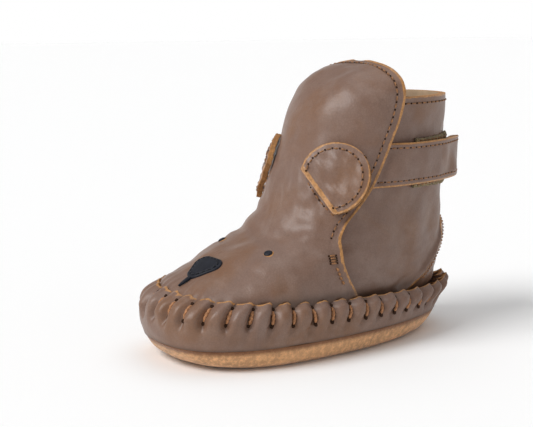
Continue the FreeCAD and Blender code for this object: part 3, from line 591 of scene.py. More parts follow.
def piece(bm, name, materials, slot, body=None, stands_for=(), thick=None, bevel=None, blend=None,
          merge=False):
    """Turn a bmesh into a finished piece that rides on a body, or that keeps its transform baked in when a
    blend is given.
    """
    if merge:
        bmesh.ops.remove_doubles(bm, verts=bm.verts, dist=0.02 * MM)
    mesh = bpy.data.meshes.new(name)
    bm.to_mesh(mesh)
    bm.free()
    for material in materials:
        mesh.materials.append(finish_of(material))
    made = bpy.data.objects.new(name, mesh)
    bpy.context.scene.collection.objects.link(made)
    if thick:
        solid = made.modifiers.new("Thickness", "SOLIDIFY")
        solid.thickness = thick * MM
        solid.offset = -1
        solid.use_even_offset = False
        solid.material_offset_rim = 1 if len(materials) > 1 else 0
    if bevel:
        rounding = made.modifiers.new("Edges", "BEVEL")
        rounding.width = bevel * MM
        rounding.segments = 2
        rounding.limit_method = "ANGLE"
        rounding.angle_limit = math.radians(50)
    if blend:
        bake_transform(made)
    else:
        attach(made, body)
    if stands_for:
        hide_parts(*stands_for)
    return made


def skin(name, grid, place, materials, slot, body=None, stands_for=(), marks=None, **looks):
    """A piece made of one patch."""
    bm = bmesh.new()
    patch(bm, *grid, place, marks=marks)
    piece(bm, name, materials, slot, body, stands_for, **looks)


def thread_length(bm, a, b, out, radius, sides=7, rings=5, bow=0.5, sink=0.55, ply=0.0):
    """A short length of thread from a to b, bowed outwards, with its ends down in the leather."""
    out = unit(out)
    beside = unit(np.cross(unit(b - a), out))

    def place(u, v):
        angle = -u * FULL_TURN
        lobes = 1 + ply * np.cos(2 * angle + v * 26)
        girth = radius * lobes * np.maximum(np.sin(math.pi * v), 0) ** 0.3
        lift = radius * (bow * np.sin(math.pi * v) - sink * np.abs(2 * v - 1) ** 4)
        middle = a + (b - a) * v[:, None] + out * lift[:, None]
        return middle + beside * (girth * np.cos(angle))[:, None] + out * (girth * np.sin(angle))[:, None]
    patch(bm, sides, rings, place)


def needle_mark(bm, place, out, radius=0.36, flat=0.35):
    """A dark mark of painted shade at the mouth of a needle hole, in the piece's second material."""
    turn = Vector(unit(out)).to_track_quat("Z", "Y").to_matrix().to_4x4()
    size = radius * MM
    matrix = Matrix.Translation(Vector(place) * MM) @ turn @ Matrix.Diagonal((size, size, size * flat, 1))
    made = bmesh.ops.create_uvsphere(bm, u_segments=8, v_segments=5, radius=1.0, matrix=matrix)["verts"]
    finish_faces(made, 1)


def even_points(points, pitch):
    """Points at even steps along a line of points."""
    lengths = run_lengths(points)
    goals = np.linspace(0, lengths[-1], max(1, round(lengths[-1] / pitch)) + 1)
    return np.stack([np.interp(goals, lengths, points[:, k]) for k in range(3)], -1)


def stitch_row(bm, points, outs, pitch, radius=None, share=0.7, holes=True):
    """Stitches in a row along a line of points that lies on the leather, with their needle holes."""
    radius = radius or mm_size("thread") / 2
    places = even_points(points, pitch)
    nearest = [int(np.argmin(np.linalg.norm(points - place, axis=1))) for place in places]
    ways = outs[nearest]
    for a, b, way, next_way in zip(places, places[1:], ways, ways[1:]):
        inset = (b - a) * (0.5 - share / 2)
        thread_length(bm, a + inset, b - inset, way + next_way, radius)
    if holes:
        for place, way in zip(places, ways):
            needle_mark(bm, place, way)


def sewn_row(name, line, outs, pitch, body, node, **thread):
    """A piece made of one row of stitches."""
    bm = bmesh.new()
    stitch_row(bm, line, outs, pitch, **thread)
    materials = ["thread", "hole"] if thread.get("holes", True) else ["thread"]
    piece(bm, name, materials, "thread", body, (node,))


def outward_of_row(line):
    """Level directions out from a row that runs round the ankle."""
    return unit(np.cross(np.gradient(line, axis=0), UP))


def side_line(low, high, inset, side, nudge=0.3):
    """A line beside the raw edge of the front leather, and its outward directions."""
    z = np.linspace(low, high, 160)
    y = edge_y(z) - inset
    ahead = upper.point(y + nudge, z, side) - upper.point(y - nudge, z, side)
    above = upper.point(y, z + nudge, side) - upper.point(y, z - nudge, side)
    return upper.point(y, z, side), unit(np.cross(ahead, above)) * side


# ---------------------------------------------------------------- upper
UPPER_FOOT, UPPER_TOP = 12.0, 92.15
LINING_AIR = 0.05
# How far the gathered sidewall pushes the toe out
TOE_FILL = 1.5
FOLD_PLACE = np.array([0.0, -16.3, 42.0])
FOLD_SLOPE = math.radians(37.5)
FOLD_NORMAL = np.array([0.0, math.sin(FOLD_SLOPE), math.cos(FOLD_SLOPE)])
FOLD_SOFTNESS = 4.0


def fold_blend():
    start = (FOLD_PLACE - FOLD_NORMAL * FOLD_SOFTNESS) * MM
    end = (FOLD_PLACE + FOLD_NORMAL * FOLD_SOFTNESS) * MM
    return "boot", "flap", tuple(start), tuple(end)


def front_height(v, depth):
    """Height at a share of the way up the front, measured along the leather."""
    z = np.linspace(UPPER_FOOT, UPPER_TOP * TALL - depth * 0.9, 500)
    lengths = run_lengths(np.stack([z, upper.reach(FRONT, 1, depth, z)], -1))
    return np.interp(v * lengths[-1], lengths, z)


def front_skin(depth):
    """The front leather from its raw edge on the right, round the toe, to the one on the left."""
    def place(u, v):
        z = front_height(v, depth)
        turn = upper.turn_at(edge_y(z), z, depth)
        return upper.turned(-math.pi - turn + u * (math.pi + 2 * turn), z, depth)
    return place


def front_height_at(x, y):
    """Height at which the front of the upper stands at x and y."""
    low, high = np.full(x.shape, 14.0), np.full(x.shape, 91.9 * TALL)
    return closed_in(low, high, lambda z: upper.face_point(x, z)[:, 1] < y)


def edge_distance(points):
    """Distance in from the raw rear edge of the front leather, along the side."""
    return np.abs(points[:, 1] - edge_y(points[:, 2]))


def toe_fill(points):
    return TOE_FILL * step_up(-34, -46, points[:, 1]) * hump(points[:, 2], 20, 6)


def upper_folds(points, u, v):
    """Height of the soft folds: broad swells, creases where the ankle bends, and gathers at the seam."""
    inset, z = edge_distance(points), points[:, 2]
    away = step_up(0.5, 6.0, inset) * step_up(16, 26, z)
    swell = ripple(points, 19, 3) * 0.8 + ripple(points, 9, 5) * 0.35
    ankle = hump(z, 39, 9)
    crease = ripple(points, 9, 8, (0.45, 1.0, 2.1))
    cheek = hump(z, 52, 8) * ripple(points, 6, 12, (1.4, 0.8, 1.4))
    turn = np.arctan2(points[:, 1] + 14, points[:, 0] * 1.9)
    gather = np.cos(turn * STITCHES_ROUND) * fade_up(z, 21, 3.0)
    lip = 0.4 * np.exp(-inset ** 4) - 0.12 * hump(inset, mm_size("seam_margin"), 0.5)
    folds = away * (swell + ankle * crease * 0.9 + cheek * 0.4) + gather * 0.6
    return lip + toe_fill(points) + mm_size("wrinkle") * folds


def raw_mark(points, u, v):
    return 0.9 * step_up(1.25, 0.75, edge_distance(points))


def foot_shade(start, most):
    """Painted shade on the upper, darker where it goes down inside the sidewall."""
    return lambda points, u, v: most * fade_up(points[:, 2], start, 1.6)


def build_upper():
    # The crease mark carries painted shade low on the upper, where it goes down inside the sidewall
    skin("upper_skin", (150, 170), lifted(front_skin(0.0), upper_folds), ["leather", "edge"], "leather",
         stands_for=("vamp", "tongue_flap"), marks={"raw": raw_mark, "crease": foot_shade(20, 0.8)},
         thick=mm_size("leather"), bevel=0.3, blend=fold_blend(), merge=True)


def build_linings():
    depth = depths()
    thick = mm_size("lining") - 0.1
    skin("upper_lining", (80, 90), front_skin(depth["lining"] + LINING_AIR), ["lining", "edge"],
         "lining_leather", stands_for=("vamp_lining", "flap_lining"), thick=thick, bevel=0.2,
         blend=fold_blend(), merge=True)
    bm = bmesh.new()
    back_skin(bm, depth["quarter_lining"] + LINING_AIR, None, 60, 60)
    piece(bm, "quarter_lining_skin", ["lining", "edge"], "lining_leather", "boot", ("quarter_lining",),
          thick=thick, bevel=0.2, merge=True)


# ---------------------------------------------------------------- quarter and gusset
QUARTER_TOP, GUSSET_TOP, GUSSET_FOOT, GUSSET_HALF = 81.0, 40.0, 8.0, 23.5
# How far the quarter reaches in under the front leather
OVERLAP = 7.0
SEAM_RISE = 1.45
# Power that draws a grid's lines together towards the gusset's seam
TO_SEAM = 1.7


def gusset_half_width(z):
    drop = np.maximum((GUSSET_TOP - z) / (GUSSET_TOP - GUSSET_FOOT), 0.0)
    return GUSSET_HALF * smooth([0.0, 0.18, 0.56, 1.0], [0.0, 0.36, 0.74, 1.0], drop)


def gusset_turn(z, depth):
    """Turn, on the left side, of the gusset's seam; straight behind above its tip."""
    half, _, _, power = upper.half_section(z, depth, True)
    share = np.clip(gusset_half_width(z) / half, 0, 1) ** (power / 2)
    return np.where(z < GUSSET_TOP, np.arccos(share), math.pi / 2)


def seam_rise(points):
    """How far the two edges stand up where the gusset is sewn in."""
    beside = np.abs(np.abs(points[:, 0]) - gusset_half_width(points[:, 2]))
    near = hump(beside, 0, 1.15) * step_up(GUSSET_TOP + 0.4, GUSSET_TOP - 1.5, points[:, 2])
    return SEAM_RISE * near * (points[:, 1] > 20)


def quarter_folds(points, u, v):
    calm = step_up(QUARTER_TOP, QUARTER_TOP - 8, points[:, 2])
    swell = ripple(points, 17, 21) * 0.9 + ripple(points, 8, 23) * 0.4
    heel = hump(points[:, 2], 25, 8) * ripple(points, 7, 29, (1, 1, 1.5))
    return mm_size("wrinkle") * calm * (swell + heel * 0.6) + seam_rise(points)


def quarter_raw(points, u, v):
    top = 0.85 * step_up(0.9, 0.35, QUARTER_TOP - points[:, 2])
    return np.maximum(top, 0.9 * step_up(0.25, 0.45, seam_rise(points) / SEAM_RISE))


def back_skin(bm, depth, folds, across, along, marks=None):
    """The two halves of the quarter, meeting behind above the gusset."""
    def half(side):
        def place(u, v):
            z = UPPER_FOOT + v * (QUARTER_TOP - UPPER_FOOT)
            start = upper.turn_at(edge_y(z) - OVERLAP, z, depth)
            stop = gusset_turn(z, depth)
            share = 1 - (1 - u) ** TO_SEAM if side > 0 else u ** TO_SEAM
            first = start if side > 0 else math.pi - stop
            return upper.turned(first + share * (stop - start), z, depth)
        return lifted(place, folds) if folds else place
    for side in (1, -1):
        patch(bm, across, along, half(side), marks=marks)


def build_quarter():
    depth = depths()["quarter"]
    looks = {"thick": mm_size("leather"), "bevel": 0.25, "merge": True}
    bm = bmesh.new()
    # The crease mark carries painted shade low on the quarter, where it goes down inside the sidewall
    back_skin(bm, depth, quarter_folds, 110, 110, {"raw": quarter_raw, "crease": foot_shade(18.5, 0.7)})
    piece(bm, "quarter_skin", ["leather", "edge"], "leather", "boot", ("quarter",), **looks)

    def gusset_place(u, v):
        z = UPPER_FOOT + v * (GUSSET_TOP - 0.4 - UPPER_FOOT)
        start = gusset_turn(z, depth) + 0.012
        share = 0.5 + 0.5 * np.sign(2 * u - 1) * (1 - (1 - np.abs(2 * u - 1)) ** TO_SEAM)
        return upper.turned(start + share * (math.pi - 2 * start), z, depth)
    skin("gusset_skin", (90, 60), lifted(gusset_place, quarter_folds), ["leather", "edge"], "leather", "boot",
         ("heel_gusset",), marks={"raw": quarter_raw}, **looks)
    build_gusset_seam(depth)

    top_row = QUARTER_TOP - 2.2
    first = upper.turn_at(edge_y(top_row) + 3.0, top_row, depth)
    line = upper.turned(np.linspace(first, math.pi - first, 240), top_row, depth - 0.12)
    sewn_row("quarter_top_stitches", line, outward_of_row(line), 2.6, "boot", "quarter_top_thread")


def build_gusset_seam(depth):
    bm = bmesh.new()
    z = np.linspace(19.0, GUSSET_TOP - 1.2, 60)
    for _, side in SIDES:
        seam = upper.face_point(side * (gusset_half_width(z) + 0.05), z, depth - SEAM_RISE * 0.9, True)
        outs = upper.normal(seam, behind=True)
        steps = even_points(seam, 1.5)
        for k, (a, b) in enumerate(zip(steps, steps[1:])):
            out = outs[k * (len(z) - 1) // len(steps)]
            thread_length(bm, a, b, out, 0.26, bow=0.8, sink=1.2)
    piece(bm, "gusset_stitches", ["thread"], "thread", "boot", ("gusset_seam_thread",))


# ---------------------------------------------------------------- puckered sidewall
WALL_FOOT = 7.0
# Lower and upper end of a hand stitch, below the rim
HAND_STITCH_ENDS = np.array([6.1, 1.3])
# Its needle holes at those ends, in radii of the cord
HAND_HOLES = 1.485, 1.35


def wall_weights(turn):
    toe = step_up(0.25, 0.8, -np.sin(turn))
    heel = step_up(0.45, 0.85, np.sin(turn))
    return toe, heel


def from_stitch(turn):
    """Distance from the nearest hand stitch, in stitches, from -0.5 to 0.5."""
    phase = stitch_phase(turn) - 0.5
    return phase - np.round(phase)


def creases(turn, rise):
    """How deep in a pinch a place on the sidewall is, from 0 to 1, and how far up its stitch it is."""
    toe, heel = wall_weights(turn)
    slant = 0.5 * (1 - toe) * (1 - 0.7 * heel) * np.maximum(0.62 - rise, 0) / 0.62 * np.sign(np.cos(turn))
    shifted = (from_stitch(turn) + slant + 0.5) % 1.0 - 0.5
    width = 0.15 + 0.04 * toe + 0.10 * np.maximum(rise - 0.6, 0)
    pinch = hump(shifted, 0, width)
    tail = 0.5 * (1 - toe) * step_up(0.05, 0.45, rise)
    return pinch * np.maximum(step_up(0.34, 0.6, rise), tail), shifted


def wall_surface(turn, rise):
    """Outer face of the sidewall; rise is 0 at the outsole and 1 at the scalloped rim."""
    toe, heel = wall_weights(turn)
    gap = from_stitch(turn)
    scallop = np.abs(np.sin(math.pi * (gap + 0.5))) ** 1.6
    top = rim_height(sidewall.turned(turn, RIM_LINE)[:, 1]) - scallop * (1.0 + 0.7 * heel) + 0.55
    z = WALL_FOOT + (top - WALL_FOOT) * rise
    points = sidewall.turned(turn, z)
    pinch, _ = creases(turn, rise)
    pucker = mm_size("pucker")
    belly = hump(rise, 0.7, 0.24) * (1 - scallop ** 2)
    out = pucker * (-pinch * (0.95 + 0.3 * heel) + belly * (0.55 + 0.2 * heel))
    out = out + 0.28 * ripple(points, 10, 31) * step_up(0.0, 0.3, rise)
    out = out - step_up(0.84, 1.02, rise) * (1.5 - 0.9 * toe - 0.5 * heel)
    out = out + 0.25 * heel * step_up(0.6, 0.9, rise)
    out = out + TOE_FILL * toe * step_up(0.5, 0.95, rise)
    away = sidewall.turned(turn + 0.01, z) - sidewall.turned(turn - 0.01, z)
    outward = unit(np.cross(away, UP))
    return points + outward * out[:, None]


# Painted shade: the sidewall darker in its pinched creases and at its foot against the outsole
def wall_shade(points, u, v):
    pinch, shifted = creases(u * FULL_TURN, v)
    return np.maximum(0.55 * pinch * hump(shifted, 0, 0.09), 0.9 * np.exp(-v / 0.05))


def build_sidewall():
    marks = {"raw": lambda points, u, v: np.exp(-(1 - v) / 0.035) * 0.85, "crease": wall_shade}
    skin("sidewall_skin", (STITCHES_ROUND * 16, 34), lambda u, v: wall_surface(u * FULL_TURN, v),
         ["leather", "edge"], "leather", "boot", ("sidewall",), marks=marks,
         thick=mm_size("sidewall_leather"), bevel=0.35, merge=True)


def build_hand_stitches():
    radius = mm_size("hand_thread") / 2
    bm = bmesh.new()
    draw = np.random.default_rng(7)
    fine = np.linspace(0, FULL_TURN, 2881)[:-1]
    turns = np.interp(np.arange(STITCHES_ROUND) + 0.5, stitch_phase(fine), fine)
    for turn in turns:
        lean = draw.uniform(-0.006, 0.006)
        top = rim_height(sidewall.turned(turn, RIM_LINE)[1])
        ends = (top - HAND_STITCH_ENDS - WALL_FOOT) / (top - WALL_FOOT)
        a, b = wall_surface(np.array([turn - lean, turn + lean]), ends)
        sideways = sidewall.turned(turn + 0.01, top - 3) - sidewall.turned(turn - 0.01, top - 3)
        out = unit(np.cross(sideways, b - a))
        lay = out * radius * 0.4
        thread_length(bm, a + lay, b + lay, out, radius, sides=12, rings=22, bow=1.0, sink=1.4, ply=0.16)
        for end, wide in zip((a, b), HAND_HOLES):
            needle_mark(bm, end + out * 0.05, out, radius * wide, flat=0.4)
    piece(bm, "hand_stitches_cord", ["hand", "hole"], "hand_thread", "boot", ("hand_stitches",))


# ---------------------------------------------------------------- sole
SOLE_FLOOR, SOLE_WALL = 2.6, 2.2
# Shares of the grid at which it has run out under the sole, up its wall, over the lip and down inside
SOLE_STEPS = (0.0, 0.4, 0.76, 0.86, 1.0)


def build_sole():
    middle = np.array([0.0, -3.0, 0.0])

    def place(u, v):
        turn = u * FULL_TURN
        under, wall, lip, inside = (
            np.clip((v - start) / (stop - start), 0, 1) for start, stop in zip(SOLE_STEPS, SOLE_STEPS[1:]))
        height = WALL_FOOT * wall - (WALL_FOOT - SOLE_FLOOR) * inside
        points = outsole.turned(turn, np.maximum(height, 0.0))
        outward = points * np.array([1.0, 1.0, 0.0]) - middle
        inward = SOLE_WALL * lip / np.maximum(np.linalg.norm(outward, axis=1), 1)
        share = np.where(v < SOLE_STEPS[1], under, 1 - inward)
        rough = 1 + 0.004 * ripple(points, 14, 41) * (wall > 0) * (lip == 0)
        flat = middle + outward * (share * rough)[:, None]
        flat[:, 2] = points[:, 2]
        return flat

    # The crease mark sets where the top of the outsole's wall gets its reddish-brown and its painted shadow
    # under the sidewall
    skin("outsole_suede", (220, 50), place, ["suede"], "suede_sole", "boot", ("outsole",),
         marks={"crease": lambda points, u, v: step_up(0.62, 0.76, v)}, merge=True)
    for node, finish in (("insole", "lining"), ("midsole_foam", "foam")):
        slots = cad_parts[node].data.materials
        slots.clear()
        slots.append(finish_of(finish))


# ---------------------------------------------------------------- seams of the flap
def build_flap_seams():
    margin = mm_size("seam_margin")
    low, high = FOLD_PLACE[2] - math.tan(FOLD_SLOPE) * 9.5 + 3.0, 89.5 * TALL
    bm = bmesh.new()
    for _, side in SIDES:
        points, outs = side_line(low, high, margin, side)
        x = np.linspace(points[-1, 0], 0.0, 40)[1:]
        over = upper.face_point(x, front_height_at(x, np.full(x.shape, points[-1, 1])))
        stitch_row(bm, np.concatenate([points, over]), np.concatenate([outs, upper.normal(over, 0.2)]), 2.5)
    piece(bm, "flap_stitches", ["thread", "hole"], "thread", "flap", ("flap_edge_thread",))
    for side_name, side in SIDES:
        points, outs = side_line(23.2, 29.0, margin, side)
        sewn_row("vamp_seam_stitches_" + side_name, points, outs, 1.5, "boot",
                 "vamp_seam_thread_" + side_name, radius=0.42, share=0.98, holes=False)
        bm = bmesh.new()
        out = np.array([side, -0.25, 0.35])
        for z in FOLD_PLACE[2] - 11.65 + 0.77 * np.arange(4):
            ends = upper.point(np.array([-9.2, -6.8]) * ALONG, z, side, -0.05)
            thread_length(bm, *ends, out, 0.3)
            for end in ends:
                needle_mark(bm, end, out)
        piece(bm, "bar_tack_stitches_" + side_name, ["thread", "hole"], "thread", "boot",
              ("bar_tack_" + side_name,))


# ---------------------------------------------------------------- ears
EAR_CHORD, EAR_REACH, EAR_BEND, EAR_TILT, EAR_GAP = 18.6, 18.6, 60.0, 8.0, 0.4
# Stitch rows: in from an ear's rim, and below its sewn edge on the flap
EAR_MARGIN, EAR_TAB_ROW = 2.0, 2.6
EAR_RADIUS = (EAR_CHORD ** 2 / 4 + EAR_REACH ** 2) / (2 * EAR_REACH)
EAR_RISE = EAR_REACH - EAR_RADIUS
# Inner and outer end of the sewn edge, x and height
EAR_ENDS = (8.6, 57.6), (20.8, 44.6)


def ear_frame(side):
    """Origin at the middle of the sewn edge, and the directions along it, to the far end, and outward."""
    inner, outer = (upper.face_point(side * x, z) for x, z in EAR_ENDS)
    along = unit(outer - inner)
    middle = (inner + outer) / 2
    seat = upper.face_point(middle[0], middle[2])
    out = upper.normal(seat)
    out = unit(out - along * (out @ along))
    origin = middle + out * (max((seat - middle) @ out, 0.0) + EAR_GAP)
    along = along * side
    reach = np.cross(out, along)
    tilt = math.radians(EAR_TILT)
    return (origin, along, reach * math.cos(tilt) + out * math.sin(tilt),
            out * math.cos(tilt) - reach * math.sin(tilt))


def ear_surface(side, layer):
    """The ear's face on top of so many of its leathers, in its own curved half round."""
    origin, along, reach, out = ear_frame(side)
    radius = EAR_BEND + layer * mm_size("ear_leather")

    def lay(x, y, lift=0.0):
        rise = np.sqrt(radius ** 2 - y ** 2) - EAR_BEND + lift
        return origin + np.outer(x, along) + np.outer(y, reach) + np.outer(rise, out)
    return lay


def ear_folds(x, y, seed):
    spots = rows_of(x, y, 0 * x)
    pleats = np.sin(y * 2.4 + 0.7 * ripple(spots, 9, seed)) * fade_up(y, 0.6, 5.0) * step_up(0.3, 1.6, y)
    rim = EAR_RADIUS - np.hypot(x, y - EAR_RISE)
    return 0.26 * pleats + 0.3 * ripple(spots, 7, seed + 1) * step_up(0.5, 3, rim) - 0.25 * hump(rim, 0, 1.5)


def ear_ring(margin):
    """The stitch line round an ear, in from its rim."""
    ring = EAR_RADIUS - margin
    swing = math.asin(min(1.0, (EAR_RISE - 1.2) / ring))
    turns = np.linspace(-swing, math.pi + swing, 120)
    return ring * np.cos(turns), EAR_RISE + ring * np.sin(turns)


def build_ears():
    low = -math.asin(EAR_RISE / EAR_RADIUS)
    for number, (side_name, side) in enumerate(SIDES):
        name, seed = "ear_" + side_name, 50 + 7 * number
        for layer, face in ((1, "back"), (2, "front")):
            lay = ear_surface(side, layer)

            def place(u, v):
                angle = low + v * (math.pi / 2 - low)
                x = (2 * u - 1) * EAR_RADIUS * np.cos(angle)
                y = EAR_RISE + EAR_RADIUS * np.sin(angle)
                return lay(x, y, ear_folds(x, y, seed))

            def worn(points, u, v):
                rim = EAR_RADIUS * np.cos(low + v * (math.pi / 2 - low)) * (1 - np.abs(2 * u - 1))
                return 0.9 * np.maximum(step_up(0.95, 0.45, rim), step_up(0.085, 0.06, v))
            skin("%s_%s_skin" % (name, face), (46, 50), place, ["leather", "edge"], "leather", name,
                 ("%s_%s" % (name, face),), marks={"raw": worn}, thick=mm_size("ear_leather") * 0.97,
                 bevel=0.2, merge=True)
        x, y = ear_ring(EAR_MARGIN)
        line = lay(x, y, ear_folds(x, y, seed) + 0.08)
        outs = np.tile(ear_frame(side)[-1], (len(line), 1))
        sewn_row(name + "_stitches", line, outs, 2.4, name, name + "_thread")
        spots = lay(np.linspace(-0.48, 0.48, 40) * EAR_CHORD, np.full(40, -EAR_TAB_ROW))
        line = upper.face_point(spots[:, 0], spots[:, 2], -0.1)
        sewn_row(name + "_base_stitches", line, upper.normal(line), 2.5, "flap", name + "_base_thread")


# ---------------------------------------------------------------- strap and its tapes
STRAP_FOOT, STRAP_WIDTH, STRAP_TIP, STRAP_CORNER = 52.4, 14.0, 36.0, 5.2
STRAP_THICK, STRAP_LENGTH, STRAP_BEND = 2.0, 55.0, 2.2
# Depths of the tapes' and the strap's faces from the upper's outer face
LOOP_OUT, HOOK_IN, HOOK_OUT, STRAP_OUT = 1.85, 1.55, 0.55, -1.45
STRAP_WAY = np.array([-1.0, 1.0, 0.0]) / math.sqrt(2)
BEND_PLACE = np.array([25.2, 17.3, 59.4])


def strap_turn(z, depth, along):
    """The turn at which the form, at a height and depth, has run so far round the strap's way."""
    low, high = np.full(z.shape, -1.0), np.full(z.shape, 2.2)
    return closed_in(low, high, lambda turn: upper.turned(turn, z, depth) @ STRAP_WAY < along)


def band_place(depth, foot, width, start, tip, corner, edge_start=False):
    """A band round the ankle from start to tip, measured along the strap's way, with a rounded tip."""
    def place(u, v):
        z = foot + v * width
        past = np.maximum(np.abs(v - 0.5) * width - (width / 2 - corner), 0)
        end = tip - corner + np.sqrt(np.maximum(corner ** 2 - past ** 2, 0))
        stop = strap_turn(z, depth, end)
        if edge_start:
            begin = upper.turn_at(edge_y(z) - start, z, depth)
        else:
            begin = strap_turn(z, depth, np.full(z.shape, start))
        return upper.turned(begin + u * (stop - begin), z, depth)
    return place


def strap_folds(points, u, v):
    rim = np.minimum(v, 1 - v) * STRAP_WIDTH
    calm = step_up(0.5, 3.0, rim)
    groove = -0.22 * hump(rim, 1.6, 0.5)
    rounded = -0.5 * np.exp(-rim / 0.5)
    tucked = -1.95 * step_up(9.0, 1.0, u * STRAP_LENGTH)
    lifted_tip = 1.5 * step_up(0.62, 1.0, u)
    waves = 0.24 * calm * (ripple(points, 8, 61, (1, 1, 0.6)) + ripple(points, 16, 63))
    return waves + groove + rounded + tucked + lifted_tip


def build_strap():
    place = band_place(STRAP_OUT, STRAP_FOOT, STRAP_WIDTH, -0.1, STRAP_TIP, STRAP_CORNER, True)
    surface = lifted(place, strap_folds)

    def fuzzy(points, u, v):
        rim = np.minimum(np.minimum(v, 1 - v) * STRAP_WIDTH, (1 - u) * STRAP_LENGTH)
        return 0.85 * step_up(0.8, 0.3, rim)
    start, end = ((BEND_PLACE + STRAP_WAY * way) * MM for way in (-STRAP_BEND, STRAP_BEND))
    bend = "flap", "strap", tuple(start), tuple(end)
    skin("strap_skin", (120, 34), surface, ["leather", "edge"], "leather",
         stands_for=("strap", "strap_lining", "strap_root"), marks={"raw": fuzzy}, thick=STRAP_THICK,
         bevel=0.45, blend=bend)

    inset, steps = 1.7, 160
    edge_share = inset / STRAP_WIDTH
    along = np.linspace(0.03, 1 - 1.2 * inset / STRAP_LENGTH, steps)
    across = np.linspace(edge_share * 1.6, 1 - edge_share * 1.6, steps)
    bm = bmesh.new()
    for u, v in ((along, np.full(steps, edge_share)), (along, np.full(steps, 1 - edge_share)),
                 (np.full(steps, along[-1]), across)):
        line, beside, above = surface(u, v), surface(u + 0.004, v), surface(u, v + 0.01)
        stitch_row(bm, line, unit(np.cross(beside - line, above - line)), 2.4)
    piece(bm, "strap_stitches", ["thread", "hole"], "thread", stands_for=("strap_thread",), blend=bend)


def nap(points, u, v):
    return 0.12 * ripple(points, 1.4, 71) + 0.06 * ripple(points, 0.8, 72)


def build_tapes():
    place = band_place(HOOK_OUT + 0.1, STRAP_FOOT + 1.6, STRAP_WIDTH - 3.2, 6.5, 34.4, 2.5)
    skin("hook_tape_nap", (60, 26), place, ["tape"], "hook_tape", "strap", ("hook_tape",),
         thick=HOOK_IN - HOOK_OUT - 0.15)
    under, over = 1.7, 0.6
    place = band_place(LOOP_OUT, STRAP_FOOT - under, STRAP_WIDTH + under + over, 5.5, 32.0, 2.0)
    skin("loop_pad_nap", (130, 70), lifted(place, nap), ["tape"], "loop_tape", "boot", ("loop_pad",),
         thick=1.0)
    bm = bmesh.new()
    for z in (STRAP_FOOT - under / 2, STRAP_FOOT + STRAP_WIDTH):
        first, last = strap_turn(np.full(2, z), LOOP_OUT, np.array([6.5, 31.0]))
        line = upper.turned(np.linspace(first, last, 120), z, LOOP_OUT - 0.1)
        stitch_row(bm, line, outward_of_row(line), 2.2, radius=0.2, holes=False)
    piece(bm, "loop_pad_stitches", ["thread"], "thread", "boot", ("loop_pad_thread",))


# ---------------------------------------------------------------- face
NOSE_MIDDLE, NOSE_WIDTH, NOSE_LENGTH, NOSE_THICK = -39.7, 13.0, 10.0, 0.9
# Power that rounds the nose's corners, and the place of its stitch row from its middle to its rim
NOSE_CORNERS, NOSE_ROW = 1.6, 0.8
# Distance from the middle, and height
EYE_PLACE = (14.0, 33.4)


def disc(u, v):
    """A square grid drawn out to a unit disc."""
    a, b = 2 * u - 1, 2 * v - 1
    return a * np.sqrt(1 - b * b / 2), b * np.sqrt(1 - a * a / 2)


def nose_plan(radial, angle):
    """Triangle with well rounded corners, one of them to the toe."""
    sides = np.radians([90.0, 210.0, 330.0])
    faces = np.maximum(np.cos(angle[..., None] - sides), 0) ** NOSE_CORNERS
    reach = radial * faces.sum(-1) ** (-1 / NOSE_CORNERS)
    x = reach * np.cos(angle) * NOSE_WIDTH / 2.36
    y = NOSE_MIDDLE + reach * np.sin(angle) * NOSE_LENGTH / 2.46
    return x, y


def on_face(x, z, lift):
    """A place above the front leather's outer face."""
    seat = upper.face_point(x, z)
    return seat + upper.normal(seat) * (lift + toe_fill(seat))[:, None]


def build_nose():
    def place(u, v):
        across, along = disc(u, v)
        radial = np.hypot(across, along)
        x, y = nose_plan(radial, np.arctan2(along, across))
        groove = 0.2 * hump(radial, NOSE_ROW, 0.05)
        lift = NOSE_THICK * np.sqrt(np.maximum(1 - radial ** 8, 0)) - 0.3 * (radial > 0.999) - groove
        return on_face(x, front_height_at(x, y), lift + 0.1)
    skin("nose_patch_skin", (56, 56), place, ["black"], "black_leather", "boot", ("nose_patch",))

    x, y = nose_plan(np.full(120, NOSE_ROW), np.linspace(0, FULL_TURN, 120))
    z = front_height_at(x, y)
    bm = bmesh.new()
    stitch_row(bm, on_face(x, z, NOSE_THICK * 0.92), upper.normal(upper.face_point(x, z)), 1.9, radius=0.24,
               holes=False)
    piece(bm, "nose_stitches", ["black_thread"], "black_thread", "boot", ("nose_thread",))


def build_mouth():
    low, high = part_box("mouth_strip")

    def strip(u, v):
        x = (2 * u - 1) * extent("mouth_strip", 0) / 2 * (0.4 + 0.6 * step_up(0.0, 0.5, v))
        lift = 0.62 * np.sqrt(np.maximum(1 - np.abs(2 * u - 1) ** 6, 0)) - 0.1
        return on_face(x, (low.z + v * (high.z - low.z)) / MM, lift)
    skin("mouth_strip_skin", (12, 24), strip, ["black"], "black_leather", "boot", ("mouth_strip",))


def build_eyes():
    x, z = EYE_PLACE
    for side_name, side in SIDES:
        seat = upper.face_point(side * x, z)
        out = upper.normal(seat)
        beside = unit(np.cross(UP, out))
        above = np.cross(out, beside)

        def dome(radius, height, power):
            def place(u, v):
                across, along = disc(u, v)
                radial = np.hypot(across, along)
                lift = height * np.maximum(1 - radial ** power, 0) ** 0.5 - 0.12 * (radial > 0.999)
                flat = np.outer(across * radius, beside) + np.outer(along * radius, above)
                return seat + flat + np.outer(lift, out)
            return place
        bm = bmesh.new()
        patch(bm, 18, 18, dome(1.5, 0.75, 2.4))
        patch(bm, 18, 18, dome(2.0, 0.2, 6.0), slot=1)
        piece(bm, "eye_%s_button" % side_name, ["black", "edge"], "black_leather", "boot",
              ("eye_" + side_name,))


